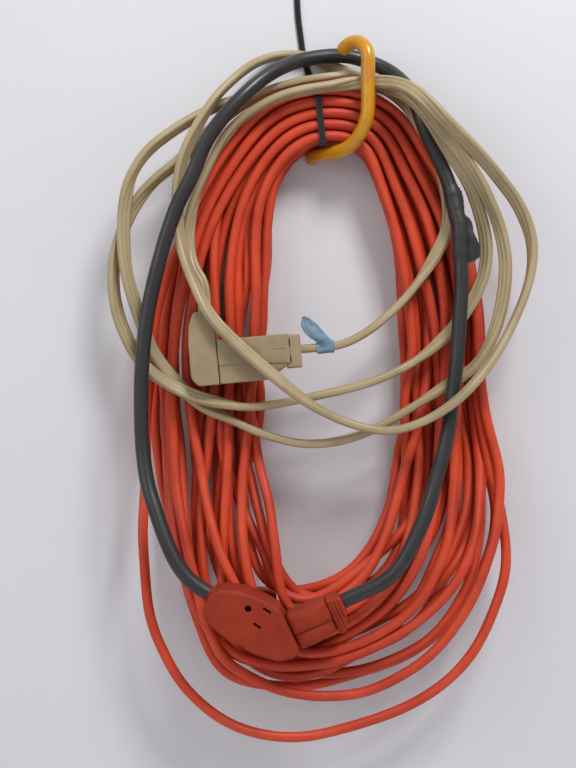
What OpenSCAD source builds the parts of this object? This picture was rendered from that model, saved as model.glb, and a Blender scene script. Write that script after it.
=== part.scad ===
// Three extension cords hung together on one coated wall hook:
// a tied hank of round cord, a loosely looped flat cord, and a short heavy tap cord.
// Millimetres. +Z is up, the wall is the plane y = 0 and the cords hang at negative y.
// The origin is the centre of the hook's shank where it enters the wall.

/* [Wall hook] */
// Diameter of the steel rod
rod_d = 7; // [5:0.5:9]
// Wall of the vinyl coating over the rod
coat_wall = 1.5; // [1:0.1:2.5]
// Diameter of the bare shank in the wall
shank_d = 6.6; // [4.6:0.1:6.8]
// Length of the shank behind the wall face
shank_len = 32; // [20:1:60]
// Straight rod between the wall face and the sideways bend
stub_len = 3; // [2:0.5:6]
// How far the hook is turned to the right of the wall's normal
hook_yaw = 45; // [30:1:50]
// Radius of the sideways bend
yaw_bend_r = 14; // [12:1:20]
// Straight rod under the bundle
foot_len = 24; // [20:1:34]
// Radius of the bend at the foot of the hook
foot_bend_r = 28; // [24:1:34]
// Straight rod up the front of the hook
bar_len = 37; // [30:1:50]
// Radius of the lip's bend
lip_bend_r = 15.5; // [13:0.5:20]
// Sweep of the lip back towards the wall
lip_sweep = 140; // [110:5:150]

/* [Cable tie] */
// Width of the strap
strap_w = 4.8; // [3.6:0.1:7.6]
// Thickness of the strap
strap_t = 1.2; // [1:0.1:1.6]
// Height of the tie's head
tie_head_h = 7; // [5:0.5:9]
// Length of the strap's free tail
tie_tail_len = 75; // [40:1:75]

/* [Round cord hank] */
// Diameter of the hank's cord
hank_cord_d = 7.6; // [6:0.1:7.6]
// Loops side by side in one layer
hank_columns = 5; // [3:1:5]
// Layers from the wall outwards
hank_layers = 4; // [2:2:4]
// Distance between layers
layer_pitch = 8.5; // [8.5:0.1:10]
// Depth kept free behind the foot of the hank for its own plug and connector
pocket_depth = 24; // [22:1:24]

/* [Flat cord] */
// Width of the flat cord
flat_w = 10; // [8:0.2:10]
// Thickness of the flat cord
flat_t = 6.4; // [5:0.1:6.4]

/* [Heavy cord] */
// Diameter of the heavy cord
heavy_d = 11; // [8:0.2:11]

/* [Contacts] */
// Distance between the two flat blades
blade_pitch = 12.7; // [12.7:0.1:12.7]
// Width of a blade
blade_w = 6.3; // [5:0.1:6.5]
// Thickness of a blade
blade_t = 1.5; // [1.2:0.1:1.6]
// Length of a blade in front of the plug's face
blade_len = 17.5; // [15:0.5:18]
// Diameter of the ground pin
pin_d = 4.75; // [4:0.05:4.8]
// Length of the ground pin in front of the plug's face
pin_len = 20.5; // [18:0.5:21]
// Distance from the blades' line to the ground pin
pin_offset = 11.9; // [11.5:0.1:12]
// Clearance of a blade or pin in the face it enters
blade_gap = 0.3; // [0.2:0.05:0.5]
// Thickness of a contact leaf
leaf_t = 0.8; // [0.5:0.1:1]

/* [Tap] */
// Thickness of the tap
tap_t = 36; // [36:1:40]
// Length of the tap's strain relief
tap_relief_len = 14; // [8:1:24]

/* [Heavy cord's plug] */
// Length of the plug's body from its face to its grip
plug_len = 31; // [28:1:31]
// Thickness of the plug
plug_t = 25; // [22:1:30]
// Length of the plug's ribbed grip
grip_len = 11.3; // [8:0.1:11.3]

/* [Flat cord's connector] */
// Length of the connector's body
conn_len = 53; // [48:1:53]
// Height of the connector's mating face
conn_h = 33; // [30:1:40]
// Thickness of the connector
conn_t = 26; // [24:1:30]
// Length of the connector's end collar
collar_len = 9; // [6:0.5:9]

/* [Flat cord's plug] */
// Depth of the right-angle plug along its blades
angle_plug_l = 21; // [18:1:28]
// Height of the right-angle plug
angle_plug_h = 55; // [50:1:55]
// Thickness of the right-angle plug
angle_plug_t = 26; // [24:1:30]

/* [Hidden] */
EPS = 0.01;
FINE = 48;
COARSE = 28;

// ---------- small helpers ----------
function unit(v) = v / norm(v);
function clamp01(t) = min(1, max(0, t));
function smooth(t) = let (u = clamp01(t)) u * u * (3 - 2 * u);
function lerp(a, b, t) = a + (b - a) * t;
function catmull(a, b, c, d, t) =
    0.5 * (2 * b + (c - a) * t + (2 * a - 5 * b + 4 * c - d) * t * t
    + (3 * b - a - 3 * c + d) * t * t * t);

// Direction of a line at one of its points
function heading(line, i) = unit(line[min(i + 1, len(line) - 1)] - line[max(i - 1, 0)]);

// One ring of a cord: wide lies in the wall's plane, thin towards the room
function ring(centre, along, wide, thin, sides) =
    let (
        out = [0, -1, 0],
        side = unit(cross(along, out)),
        front = cross(side, along)
    )
    [
        for (k = [0:sides - 1])
            let (a = 360 * (k + 0.5) / sides)
            centre + side * (wide / 2 * cos(a)) + front * (thin / 2 * sin(a))
    ];

// A closed tube along a line
module cord(line, wide, thin, sides) {
    count = len(line);
    points = [for (i = [0:count - 1]) each ring(line[i], heading(line, i), wide, thin, sides)];
    walls = [
        for (i = [0:count - 2], k = [0:sides - 1])
            let (
                a = i * sides + k,
                b = i * sides + (k + 1) % sides,
                c = a + sides,
                d = b + sides
            )
            each [[a, b, c], [b, d, c]]
    ];
    first = [for (k = [1:sides - 2]) [0, k + 1, k]];
    base = (count - 1) * sides;
    last = [for (k = [1:sides - 2]) [base, base + k, base + k + 1]];
    polyhedron(points = points, faces = concat(walls, first, last));
}

// A block with its four long edges rounded, thickness along y and centred on y = 0
module slab(outline, thick, round_r) {
    rotate([90, 0, 0]) translate([0, 0, -thick / 2])
        linear_extrude(thick) offset(r = round_r, $fn = COARSE) offset(delta = -round_r)
            polygon(outline);
}
// A slab with its front and back edges eased all round; the outline has no hollows
module pillow(outline, thick, round_r, edge) {
    hull() {
        slab(outline, thick - 2 * edge, round_r);
        rotate([90, 0, 0]) translate([0, 0, -thick / 2])
            linear_extrude(thick) offset(r = round_r, $fn = COARSE)
                offset(delta = -round_r - edge) polygon(outline);
    }
}

// ---------- wall hook ----------
coat_d = rod_d + 2 * coat_wall;
COAT_FIT = 0.1;
COAT_START = 1;
LIP_CAP_SWEEP = 8;
YAW_X = yaw_bend_r * (1 - cos(hook_yaw));
YAW_Y = yaw_bend_r * sin(hook_yaw);
// The foot is this much fuller than the bend it grows out of
FOOT_STEP = 0.02;

// A bend that starts at the origin along +Z and turns towards +X
module bend(r, sweep, d) {
    translate([r, 0, 0]) rotate([-90, 0, 0]) rotate([0, 0, 180])
        rotate_extrude(angle = sweep, $fn = 64) translate([r, 0]) circle(d = d, $fn = COARSE);
}

// The hook's round path, from the wall to its lip
module hook_path(d, start, lip) {
    rotate([90, 0, 0]) {
        translate([0, 0, start]) cylinder(d = d, h = stub_len - start, $fn = COARSE);
        translate([0, 0, stub_len]) {
            bend(yaw_bend_r, hook_yaw, d);
            translate([YAW_X, 0, YAW_Y]) rotate([0, hook_yaw, 0]) {
                translate([0, 0, -FOOT_STEP])
                    cylinder(d = d + 2 * FOOT_STEP, h = foot_len + FOOT_STEP, $fn = COARSE);
                translate([0, 0, foot_len]) {
                    rotate([0, 0, 90]) bend(foot_bend_r, 90, d);
                    translate([0, foot_bend_r, foot_bend_r]) rotate([-90, 0, 0]) {
                        cylinder(d = d, h = bar_len, $fn = COARSE);
                        translate([0, 0, bar_len]) rotate([0, 0, 90]) bend(lip_bend_r, lip, d);
                    }
                }
            }
        }
    }
}

module hook_rod() {
    color("silver") {
        hook_path(rod_d, 0, lip_sweep - LIP_CAP_SWEEP);
        rotate([-90, 0, 0]) {
            cylinder(d = shank_d, h = shank_len, $fn = COARSE);
            translate([0, 0, shank_len])
                cylinder(d1 = shank_d, d2 = shank_d - 2, h = 1, $fn = COARSE);
        }
    }
}

module hook_coating() {
    color("goldenrod") difference() {
        hook_path(coat_d, COAT_START, lip_sweep);
        hook_path(rod_d + 2 * COAT_FIT, 0, lip_sweep - LIP_CAP_SWEEP);
    }
}

// ---------- round cord hank ----------
// Innermost and outermost turn at even steps round the hank, [x, z], from the foot up the left
HANK_INNER = [
    [-6, -334], [-22, -324], [-29, -295], [-35, -245], [-38, -183], [-36, -113],
    [-34, -55], [-25, -19], [-7, 2], [16, 8], [38, 1], [49, -28],
    [61, -67], [69, -121], [71, -183], [66, -237], [51, -280], [29, -311]
];
HANK_OUTER = [
    [2, -432], [-68, -417], [-109, -369], [-126, -299], [-126, -222], [-121, -136],
    [-104, -63], [-76, -8], [-36, 38], [15, 51], [63, 37], [91, 1],
    [117, -47], [133, -113], [136, -191], [145, -264], [138, -330], [95, -396]
];
RINGS_PER_LOOP = 24;
HANK_SIDES = 6;
HANK_LOOPS = hank_columns * hank_layers - 0.5;
HANK_START = 0.25;
TIGHT_PITCH = 8.2;
BACK_LAYER_Y = -2.5 - hank_cord_d / 2;
POCKET_TOP = -210;
POCKET_RUN = 130;
LOOSE_LOOP = 16;

// A point on a ring of points, at a fraction between them
function around(list, s) =
    let (n = len(list), i = floor(s))
    catmull(list[(i + n - 1) % n], list[i % n], list[(i + 1) % n], list[(i + 2) % n], s - i);

// Column of a turn: out across the layer and back in across the next
function column_at(turn) =
    hank_columns - abs(hank_columns - (turn - 2 * hank_columns * floor(turn / (2 * hank_columns))));

// Layer of a turn: the cord climbs in the half turn where the spiral reverses
function layer_at(turn) =
    [for (k = [1:hank_layers - 1]) smooth((turn - (k * hank_columns - 0.25)) / 0.5)]
    * [for (k = [1:hank_layers - 1]) 1];

function hank_point(turn) =
    let (
        s = (turn - floor(turn)) * len(HANK_INNER),
        near = around(HANK_INNER, s),
        span = around(HANK_OUTER, s) - near,
        slack = max(0, norm(span) / hank_columns - TIGHT_PITCH),
        sway = 0.6 * sin(493 * turn + 40) + 0.4 * sin(947 * turn),
        loose = LOOSE_LOOP * smooth(1 - abs(turn - 3 * hank_columns - 0.08) / 0.36),
        at = near + span * column_at(turn) / hank_columns
            + unit(span) * (0.38 * slack * sway + loose),
        pocket = pocket_depth * smooth((POCKET_TOP - at[1]) / POCKET_RUN)
    )
    [at[0], BACK_LAYER_Y - layer_pitch * layer_at(turn) - pocket, at[1]];

HANK_LINE = [
    for (i = [0:HANK_LOOPS * RINGS_PER_LOOP]) hank_point(HANK_START + i / RINGS_PER_LOOP)
];
HANK_END = len(HANK_LINE) - 1;

// Least gap between turns, point to point, one loop or more apart along the cord
HANK_GAPS = [
    for (i = [0:HANK_END], j = [i + RINGS_PER_LOOP / 2:HANK_END])
        norm(HANK_LINE[i] - HANK_LINE[j])
];
echo(hank_least_gap = min(HANK_GAPS) - hank_cord_d);

module hank_cord() {
    color("tomato") cord(HANK_LINE, hank_cord_d, hank_cord_d, HANK_SIDES);
}

// The cord's own ends, hidden behind the foot of the hank
LEAD_IN = [
    [-66, -12, -347], [-75, -12, -347], [-84, -12, -342], [-90, -12, -330],
    [-88, -11, -314], [-78, -9, -298], [-62, -6, -284], [-45, -5, -271],
    [-33, -5, -254], [-29, -6, -232], [-31, -6, -208], [-37, -6, -182]
];
LEAD_OUT = [
    [62, -29, -184], [54, -23, -207], [49, -15, -229], [48, -8, -250], [50, -6, -270],
    [53, -8, -290], [55, -11, -308], [54, -12, -327], [47, -12, -342], [37, -12, -347],
    [28, -12, -347]
];

module hank_lead_in() {
    meet = HANK_LINE[0] - hank_cord_d * heading(HANK_LINE, 0);
    color("tomato")
        cord(concat(LEAD_IN, [meet, HANK_LINE[0]]), hank_cord_d, hank_cord_d, HANK_SIDES);
}

module hank_lead_out() {
    meet = HANK_LINE[HANK_END] + hank_cord_d * heading(HANK_LINE, HANK_END);
    color("tomato")
        cord(concat([HANK_LINE[HANK_END], meet], LEAD_OUT), hank_cord_d, hank_cord_d, HANK_SIDES);
}

// ---------- cable tie ----------
TIE_FIT = 0.25;
TIE_LEAN = -6;
TIE_AT_X = 8.2;
TIE_LOW = lerp(HANK_INNER[9][1], HANK_OUTER[9][1], 0.5 / hank_columns) - hank_cord_d / 2 - 1.8;
TIE_HIGH = lerp(HANK_INNER[9][1], HANK_OUTER[9][1], 1 - 0.5 / hank_columns)
    + hank_cord_d / 2 - 0.6;
TIE_BACK = BACK_LAYER_Y + hank_cord_d / 2 + TIE_FIT;
TIE_FRONT = BACK_LAYER_Y - (hank_layers - 1) * layer_pitch - hank_cord_d / 2 - TIE_FIT;
TIE_TAIL_Y = -0.3;
TIE_TAIL = [[3, 54], [0, 61], [-4, 70], [-7, 82], [-9, 96], [-11, 112], [-12, 129]];

module tie_band(grow) {
    offset(r = 4 + grow, $fn = COARSE) offset(delta = -4)
        polygon([[TIE_BACK, TIE_LOW], [TIE_BACK, TIE_HIGH],
            [TIE_FRONT, TIE_HIGH], [TIE_FRONT, TIE_LOW]]);
}

// A flat strip of one width along a line in the wall's plane
module strip(line, wide) {
    last = len(line) - 1;
    across = [
        for (i = [0:last])
            let (d = unit(line[min(i + 1, last)] - line[max(i - 1, 0)])) [-d[1], d[0]]
    ];
    polygon(concat(
        [for (i = [0:last]) line[i] + across[i] * wide / 2],
        [for (i = [last:-1:0]) line[i] - across[i] * wide / 2]
    ));
}

module cable_tie() {
    tail_share = tie_tail_len / 75;
    color("dimgray") {
        translate([TIE_AT_X, 0, 0]) rotate([0, TIE_LEAN, 0]) {
            rotate([90, 0, 90]) translate([0, 0, -strap_w / 2]) linear_extrude(strap_w)
                difference() {
                    tie_band(strap_t);
                    tie_band(0);
                }
            translate([-strap_w / 2 - 1.2, -6.3, TIE_HIGH + EPS])
                cube([strap_w + 2.4, 6, tie_head_h]);
        }
        translate([0, TIE_TAIL_Y, 0]) rotate([90, 0, 0]) linear_extrude(strap_t)
            strip([for (p = TIE_TAIL) [p[0], TIE_TAIL[0][1] + (p[1] - TIE_TAIL[0][1]) * tail_share]],
                strap_w);
    }
}

// ---------- outlets and contacts ----------
// An outlet's own frame: +Z out of its face, blades apart along X, ground pin on the -Y side
JAW_FIT = 0.1;
FACE_SKIN = 3;
jaw_gap = blade_t + 2 * JAW_FIT;
jaw_w = jaw_gap + 2 * leaf_t;
sleeve_in = pin_d + 2 * JAW_FIT;
sleeve_out = sleeve_in + 2 * leaf_t;
END_ROOM = 2;

// The holes behind one face: narrow through the skin, wider where the contacts sit
module outlet_cuts(blade_depth, pin_depth) {
    for (side = [-1, 1]) translate([side * blade_pitch / 2, 0, 0]) {
        translate([-blade_t / 2 - blade_gap, -blade_w / 2 - blade_gap, -FACE_SKIN - EPS])
            cube([blade_t + 2 * blade_gap, blade_w + 2 * blade_gap, FACE_SKIN + 1]);
        translate([-jaw_w / 2, -blade_w / 2 - blade_gap, -blade_depth])
            cube([jaw_w, blade_w + 2 * blade_gap, blade_depth - FACE_SKIN]);
    }
    translate([0, -pin_offset, 0]) {
        translate([0, 0, -FACE_SKIN - EPS])
            cylinder(d = pin_d + 2 * blade_gap, h = FACE_SKIN + 1, $fn = COARSE);
        translate([0, 0, -pin_depth])
            cylinder(d = sleeve_out, h = pin_depth - FACE_SKIN, $fn = COARSE);
    }
}

// Two spring clips, each bent from one strip, and a split-free ground sleeve
module outlet_contacts(blade_depth, pin_depth) {
    for (side = [-1, 1]) translate([side * blade_pitch / 2, 0, -blade_depth])
        difference() {
            translate([-jaw_w / 2, -blade_w / 2, 0])
                cube([jaw_w, blade_w, blade_depth - FACE_SKIN]);
            translate([-jaw_gap / 2, -blade_w / 2 - 1, leaf_t])
                cube([jaw_gap, blade_w + 2, blade_depth]);
        }
    translate([0, -pin_offset, -pin_depth]) difference() {
        cylinder(d = sleeve_out, h = pin_depth - FACE_SKIN, $fn = COARSE);
        translate([0, 0, -1]) cylinder(d = sleeve_in, h = pin_depth, $fn = COARSE);
    }
}

// A plug's metal: flat blades with their tips eased, rooted inside the body
ROOT = 6;
module plug_blades() {
    for (side = [-1, 1]) translate([side * blade_pitch / 2, 0, 0]) rotate([0, 90, 0])
        translate([0, 0, -blade_t / 2]) linear_extrude(blade_t)
            polygon([
                [ROOT, -blade_w / 2], [ROOT, blade_w / 2], [-blade_len + 2, blade_w / 2],
                [-blade_len, blade_w / 2 - 1.5], [-blade_len, -blade_w / 2 + 1.5],
                [-blade_len + 2, -blade_w / 2]
            ]);
}

module plug_pin() {
    translate([0, -pin_offset, -ROOT]) {
        cylinder(d = pin_d, h = ROOT + pin_len - 1.5, $fn = COARSE);
        translate([0, 0, ROOT + pin_len - 1.5])
            cylinder(d1 = pin_d, d2 = pin_d - 2, h = 1.5, $fn = COARSE);
    }
}

module blade_roots() {
    for (side = [-1, 1]) translate([side * blade_pitch / 2 - blade_t / 2, -blade_w / 2, -ROOT])
        cube([blade_t, blade_w, ROOT + 1]);
}

module pin_root() {
    translate([0, -pin_offset, -ROOT]) cylinder(d = pin_d, h = ROOT + 1, $fn = COARSE);
}

// ---------- the hank's own plug and connector ----------
HIDDEN_Z = -347;
HIDDEN_Y = -12;
HIDDEN_T = 21.5;
HIDDEN_H = 28;
HIDDEN_PLUG_X = [-5, 27.8];
HIDDEN_CONN_X = [-65.8, -28];
HIDDEN_BLADE_Y = 5;

// Puts an outlet's frame on a face that looks along -X or +X, ground pin towards the room
module hidden_face(x, look) {
    translate([x, HIDDEN_Y + HIDDEN_BLADE_Y, HIDDEN_Z])
        rotate([0, look * 90, 0]) children();
}

// A moulded body along X that narrows to the cord's end
module hidden_body(face_x, cord_x) {
    way = sign(cord_x - face_x);
    body = [
        [face_x, -HIDDEN_H / 2], [face_x, HIDDEN_H / 2], [face_x + way * 18, HIDDEN_H / 2],
        [cord_x - way * 8, 7], [cord_x, 5.5], [cord_x, -5.5], [cord_x - way * 8, -7],
        [face_x + way * 18, -HIDDEN_H / 2]
    ];
    translate([0, HIDDEN_Y, HIDDEN_Z]) pillow(body, HIDDEN_T, 0.8, 1.5);
}

module hank_plug() {
    color("chocolate") difference() {
        hidden_body(HIDDEN_PLUG_X[0], HIDDEN_PLUG_X[1]);
        hidden_face(HIDDEN_PLUG_X[0], -1) {
            blade_roots();
            pin_root();
        }
    }
}

module hank_plug_blades() {
    color("gold") hidden_face(HIDDEN_PLUG_X[0], -1) {
        plug_blades();
        plug_pin();
    }
}

module hank_connector() {
    color("chocolate") difference() {
        hidden_body(HIDDEN_CONN_X[1], HIDDEN_CONN_X[0]);
        hidden_face(HIDDEN_CONN_X[1], 1)
            outlet_cuts(blade_len + END_ROOM, pin_len + END_ROOM);
    }
}

module hank_connector_contacts() {
    color("gold") hidden_face(HIDDEN_CONN_X[1], 1)
        outlet_contacts(blade_len + END_ROOM, pin_len + END_ROOM);
}

// ---------- where the mated pairs hang ----------
// Each pair's own frame: X out of the left piece's face, through the right piece
FLAT_PAIR_AT = [-70.6, -50, -160.4];
FLAT_PAIR_TILT = -5;
ROUND_PAIR_AT = [-17.5, -78, -353.3];
ROUND_PAIR_TILT = -25;
// Room left between a cord's end and the moulding it enters
CORD_GAP = 0.3;

// A point of a pair's frame, given along X and Z
function pair_point(at, tilt, x, z) =
    at + [x * cos(tilt) + z * sin(tilt), 0, z * cos(tilt) - x * sin(tilt)];

// ---------- flat cord ----------
FLAT_SIDES = 8;
// Height of the lead above the middle of its connector
LEAD_Z = 3;
LEAD_END = conn_len + collar_len;
FLAT_LEAD = [
    pair_point(FLAT_PAIR_AT, FLAT_PAIR_TILT, LEAD_END + CORD_GAP, LEAD_Z), [3, -50, -151], [15, -50, -150], [28, -49, -146], [46, -47, -135],
    [69, -43, -114], [85, -41, -93], [94, -40, -78], [101, -39, -63], [103, -39, -48],
    [101, -39, -33], [97, -39, -14], [90, -40, 2], [81, -40, 18], [74, -32, 32],
    [66, -20, 44], [54, -10, 55], [43, -10, 56]
];
FLAT_CORD = [
    [43, -10, 56], [32, -10, 57], [10, -10, 57], [-17, -12, 53], [-45, -18, 44],
    [-68, -24, 38], [-90, -30, 26], [-112, -37, 10], [-127, -43, -5], [-138, -46, -25],
    [-142, -47, -51], [-142, -47, -78], [-138, -47, -104], [-123, -43, -149],
    [-113, -42, -165], [-100, -42, -180], [-84, -42, -194], [-64, -42, -204],
    [-40, -42, -215], [-10, -42, -223], [20, -43, -221], [50, -45, -210], [80, -47, -192],
    [103, -47, -177], [121, -47, -165], [134, -47, -144], [142, -47, -115],
    [144, -48, -87], [139, -50, -61], [128, -54, -36], [117, -58, -19], [105, -63, -4],
    [93, -67, 9], [82, -68, 23], [71, -62, 35], [59, -45, 47], [42, -26, 56],
    [25, -25, 57], [7, -25, 57], [-21, -24, 51], [-48, -26, 39], [-75, -31, 19],
    [-101, -36, -8], [-120, -39, -24], [-135, -40, -43], [-145, -40, -65],
    [-151, -40, -92], [-148, -40, -124], [-135, -42, -154], [-121, -46, -170],
    [-106, -49, -179], [-89, -49, -187], [-66, -49, -193], [-40, -49, -195],
    [20, -49, -183], [50, -48, -174], [77, -42, -161], [100, -40, -142],
    [117, -40, -121], [128, -40, -99], [131, -41, -81], [129, -42, -62], [122, -46, -40],
    [114, -51, -24], [103, -56, -9], [93, -60, 6], [84, -61, 20], [73, -55, 34],
    [60, -37, 46], [42, -18, 56], [30, -15, 62], [18, -6, 70], [-6, -5, 80],
    [-27, -6, 80], [-45, -16, 71], [-60, -29, 56], [-74, -38, 39], [-85, -43, 20],
    [-94, -45, 2], [-100, -46, -17], [-102, -47, -40], [-101, -48, -64], [-96, -54, -86],
    [-86, -63, -109], [-75, -68, -129], [-58, -69, -147], [-40, -69, -163],
    [-21, -67, -179], [-1, -62, -194], [23, -57, -206], [53, -57, -213], [78, -63, -207],
    [101, -68, -193], [118, -66, -177], [137, -58, -153], [153, -51, -124],
    [163, -47, -96], [164, -46, -70], [155, -47, -46], [143, -51, -30], [127, -60, -14],
    [111, -69, 0], [97, -74, 12], [84, -75, 25], [72, -69, 37], [59, -54, 48],
    [41, -35, 56], [24, -33, 57], [5, -33, 57], [-10, -34, 54], [-34, -35, 47],
    [-52, -38, 30], [-67, -41, 9], [-79, -41, -14], [-89, -41, -37], [-94, -41, -60],
    [-94, -42, -77], [-90, -46, -92], [-83, -50, -102], [-82, -50, -113], [-81, -50, -124]
];

module flat_cord() {
    color("burlywood") cord(FLAT_CORD, flat_w, flat_t, FLAT_SIDES);
}

module flat_connector_lead() {
    color("burlywood") cord(FLAT_LEAD, flat_w, flat_t, FLAT_SIDES);
}

// ---------- flat cord's connector and right-angle plug ----------
FLAT_FACE = [-1.4, 0.2];
FLAT_BLADE_Z = 3;

module at_flat_pair() {
    translate(FLAT_PAIR_AT) rotate([0, FLAT_PAIR_TILT, 0]) children();
}

// Puts an outlet's frame on the plane x, looking back along -X, ground pin below
module flat_face(x, look) {
    translate([x, 0, FLAT_BLADE_Z]) rotate([90, 0, 90])
        rotate([0, look > 0 ? 0 : 180, 0]) children();
}

module flat_connector() {
    low = 15 - conn_h;
    body = [
        [FLAT_FACE[1], low], [FLAT_FACE[1], 15], [conn_len, 15], [conn_len, -6],
        [conn_len - 4, -9.3], [conn_len - 17.5, low + 0.4]
    ];
    color("burlywood") at_flat_pair() difference() {
        union() {
            pillow(body, conn_t, 1.2, 2);
            translate([6.5, 0, 0]) slab([[0, 13], [0, 20.5], [1, 21], [5, 21], [5.5, 20.5], [5.5, 13]],
                conn_t - 12, 0.5);
        }
        flat_face(FLAT_FACE[1], -1) outlet_cuts(blade_len + END_ROOM, pin_len + END_ROOM);
        for (side = [-1, 1])
            translate([4, side * conn_t / 2 - 0.6, -3.6]) cube([38, 1.2, 1.2]);
    }
}

module flat_connector_collar() {
    body = [
        [conn_len, -10.5], [conn_len, 14.5], [conn_len + collar_len - 0.3, 14],
        [conn_len + collar_len - 0.3, -10.5]
    ];
    color("burlywood") at_flat_pair() difference() {
        pillow(body, conn_t - 5, 1, 1);
        for (side = [-1, 1], z = [-6, 6.5])
            translate([conn_len + 2.6, side * conn_t / 2 - 2.5, z]) cube([2.4, 5, 5], center = true);
    }
}

module flat_connector_contacts() {
    color("gold") at_flat_pair() flat_face(FLAT_FACE[1], -1)
        outlet_contacts(blade_len + END_ROOM, pin_len + END_ROOM);
}

module angle_plug() {
    low = 36.8 - angle_plug_h;
    deep = -angle_plug_l;
    body = [
        [FLAT_FACE[0], low], [FLAT_FACE[0], 30], [-3, 36.8], [-15.5, 36.8],
        [deep + 2, 28], [deep, 13], [deep, low + 6], [deep + 5, low]
    ];
    color("burlywood") at_flat_pair() difference() {
        pillow(body, angle_plug_t, 1.2, 2.5);
        flat_face(FLAT_FACE[0], 1) {
            blade_roots();
            pin_root();
        }
    }
}

module angle_plug_blades() {
    color("gold") at_flat_pair() flat_face(FLAT_FACE[0], 1) plug_blades();
}

module angle_plug_pin() {
    color("gold") at_flat_pair() flat_face(FLAT_FACE[0], 1) plug_pin();
}

// A strip of tape wrapped on the cord beside the connector, its free end folded up as a flag
TAPE_ALONG = 18;
TAPE_AT = pair_point(FLAT_PAIR_AT, FLAT_PAIR_TILT, LEAD_END + TAPE_ALONG, LEAD_Z);
TAPE_WRAP_T = 0.6;
TAPE_FLAG_T = 0.4;
module cord_tape() {
    tape_fit = 0.1;
    color("skyblue") translate(TAPE_AT) {
        rotate([0, FLAT_PAIR_TILT, 0]) difference() {
            cube([13, flat_t + 2 * (tape_fit + TAPE_WRAP_T), flat_w + 2 * (tape_fit + TAPE_WRAP_T)],
                center = true);
            cube([15, flat_t + 2 * tape_fit, flat_w + 2 * tape_fit], center = true);
        }
        translate([0, -flat_t / 2 - tape_fit - 0.1, 0]) rotate([90, 0, 0])
            linear_extrude(TAPE_FLAG_T)
                polygon([[3, 2.5], [-5, 2.5], [-13, 6.5], [-18, 10.5], [-19, 14.5], [-14, 21.5],
                    [-9, 18.5], [-3, 12.5], [3, 8.5]]);
    }
}

// ---------- heavy cord ----------
HEAVY_SIDES = 8;
TAP_CORD = [
    [-77, -78, -329], [-88, -78, -322], [-99, -77, -309], [-108, -74, -291],
    [-116, -69, -270], [-123, -63, -249], [-127, -58, -220], [-128, -57, -190],
    [-127, -57, -160], [-124, -57, -131], [-118, -57, -101], [-110, -57, -71],
    [-101, -57, -45], [-90, -56, -23], [-80, -55, 2], [-66, -54, 22], [-49, -50, 41],
    [-31, -39, 58], [-11, -23, 71], [10, -15, 77], [29, -15, 77], [48, -15, 71],
    [60, -19, 64], [69, -29, 53], [76, -42, 38], [80, -50, 22], [86, -49, 6],
    [93, -49, -8], [99, -49, -22], [103, -50, -33], [106, -51, -48]
];
PLUG_CORD = [
    [106, -51, -48], [109, -52, -63], [110, -52, -87], [110, -53, -110], [108, -55, -138],
    [106, -57, -162], [103, -57, -188], [99, -58, -217], [91, -63, -245], [83, -69, -270],
    [71, -75, -295], [60, -78, -313], [47, -78, -323], [34, -78, -329],
    pair_point(ROUND_PAIR_AT, ROUND_PAIR_TILT, plug_len + grip_len + CORD_GAP, 0)
];

module tap_cord() {
    color("darkslategray") cord(TAP_CORD, heavy_d, heavy_d, HEAVY_SIDES);
}

module plug_cord() {
    color("darkslategray") cord(PLUG_CORD, heavy_d, heavy_d, HEAVY_SIDES);
}

// Torn tape wound round the cord where its two stretches meet
SPLICE_LINE = [
    [102, -50, -30], [103, -50, -33], [106, -51, -48], [109, -52, -63], [110, -52, -87]
];
SPLICE_T = 1.2;
SPLICE_FIT = 0.15;
// The torn end of the tape stands off the cord towards the right
SPLICE_FLAP_Y = -52;
SPLICE_FLAP = [
    [108, -40], [112, -42], [112, -48], [114, -53], [117, -56], [119, -62], [121, -68],
    [123.5, -74], [123.5, -82], [120, -86], [115, -87], [111, -84], [110, -60]
];
module splice_tape() {
    tap_end = len(TAP_CORD) - 1;
    inside = concat(
        [for (i = [tap_end - 4:tap_end - 1]) TAP_CORD[i]],
        [for (i = [0:4]) PLUG_CORD[i]]
    );
    color("black") difference() {
        union() {
            cord(SPLICE_LINE, heavy_d + 2 * SPLICE_T, heavy_d + 2 * SPLICE_T, HEAVY_SIDES);
            translate([0, SPLICE_FLAP_Y, 0]) rotate([90, 0, 0]) linear_extrude(SPLICE_T)
                polygon(SPLICE_FLAP);
        }
        cord(inside, heavy_d + 2 * SPLICE_FIT, heavy_d + 2 * SPLICE_FIT, HEAVY_SIDES);
    }
}

// ---------- round pair: the tap and the heavy cord's plug ----------
ROUND_BLADE_Z = 3;
ROUND_FACE = [0, 0.2];
TAP_AXIS = 121.5;
TAP_OUTLET = [-14, 17];
RELIEF_D = 14;

module at_round_pair() {
    translate(ROUND_PAIR_AT) rotate([0, ROUND_PAIR_TILT, 0]) children();
}

module round_face(x, look) {
    translate([x, 0, ROUND_BLADE_Z]) rotate([90, 0, 90])
        rotate([0, look > 0 ? 0 : 180, 0]) children();
}

// Puts an outlet's frame on the tap's front, ground pin towards the tap's cord
module tap_front() {
    translate([TAP_OUTLET[0], -tap_t / 2, TAP_OUTLET[1]])
        rotate([0, 90 - TAP_AXIS, 0]) rotate([90, 0, 0]) rotate([0, 0, 180]) children();
}

// Stands children on the tap cord's end, +Z along the cord
module at_tap_entry() {
    way = TAP_CORD[1] - TAP_CORD[0];
    translate(TAP_CORD[0]) rotate([0, atan2(way[0], way[2]), 0]) children();
}

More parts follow.
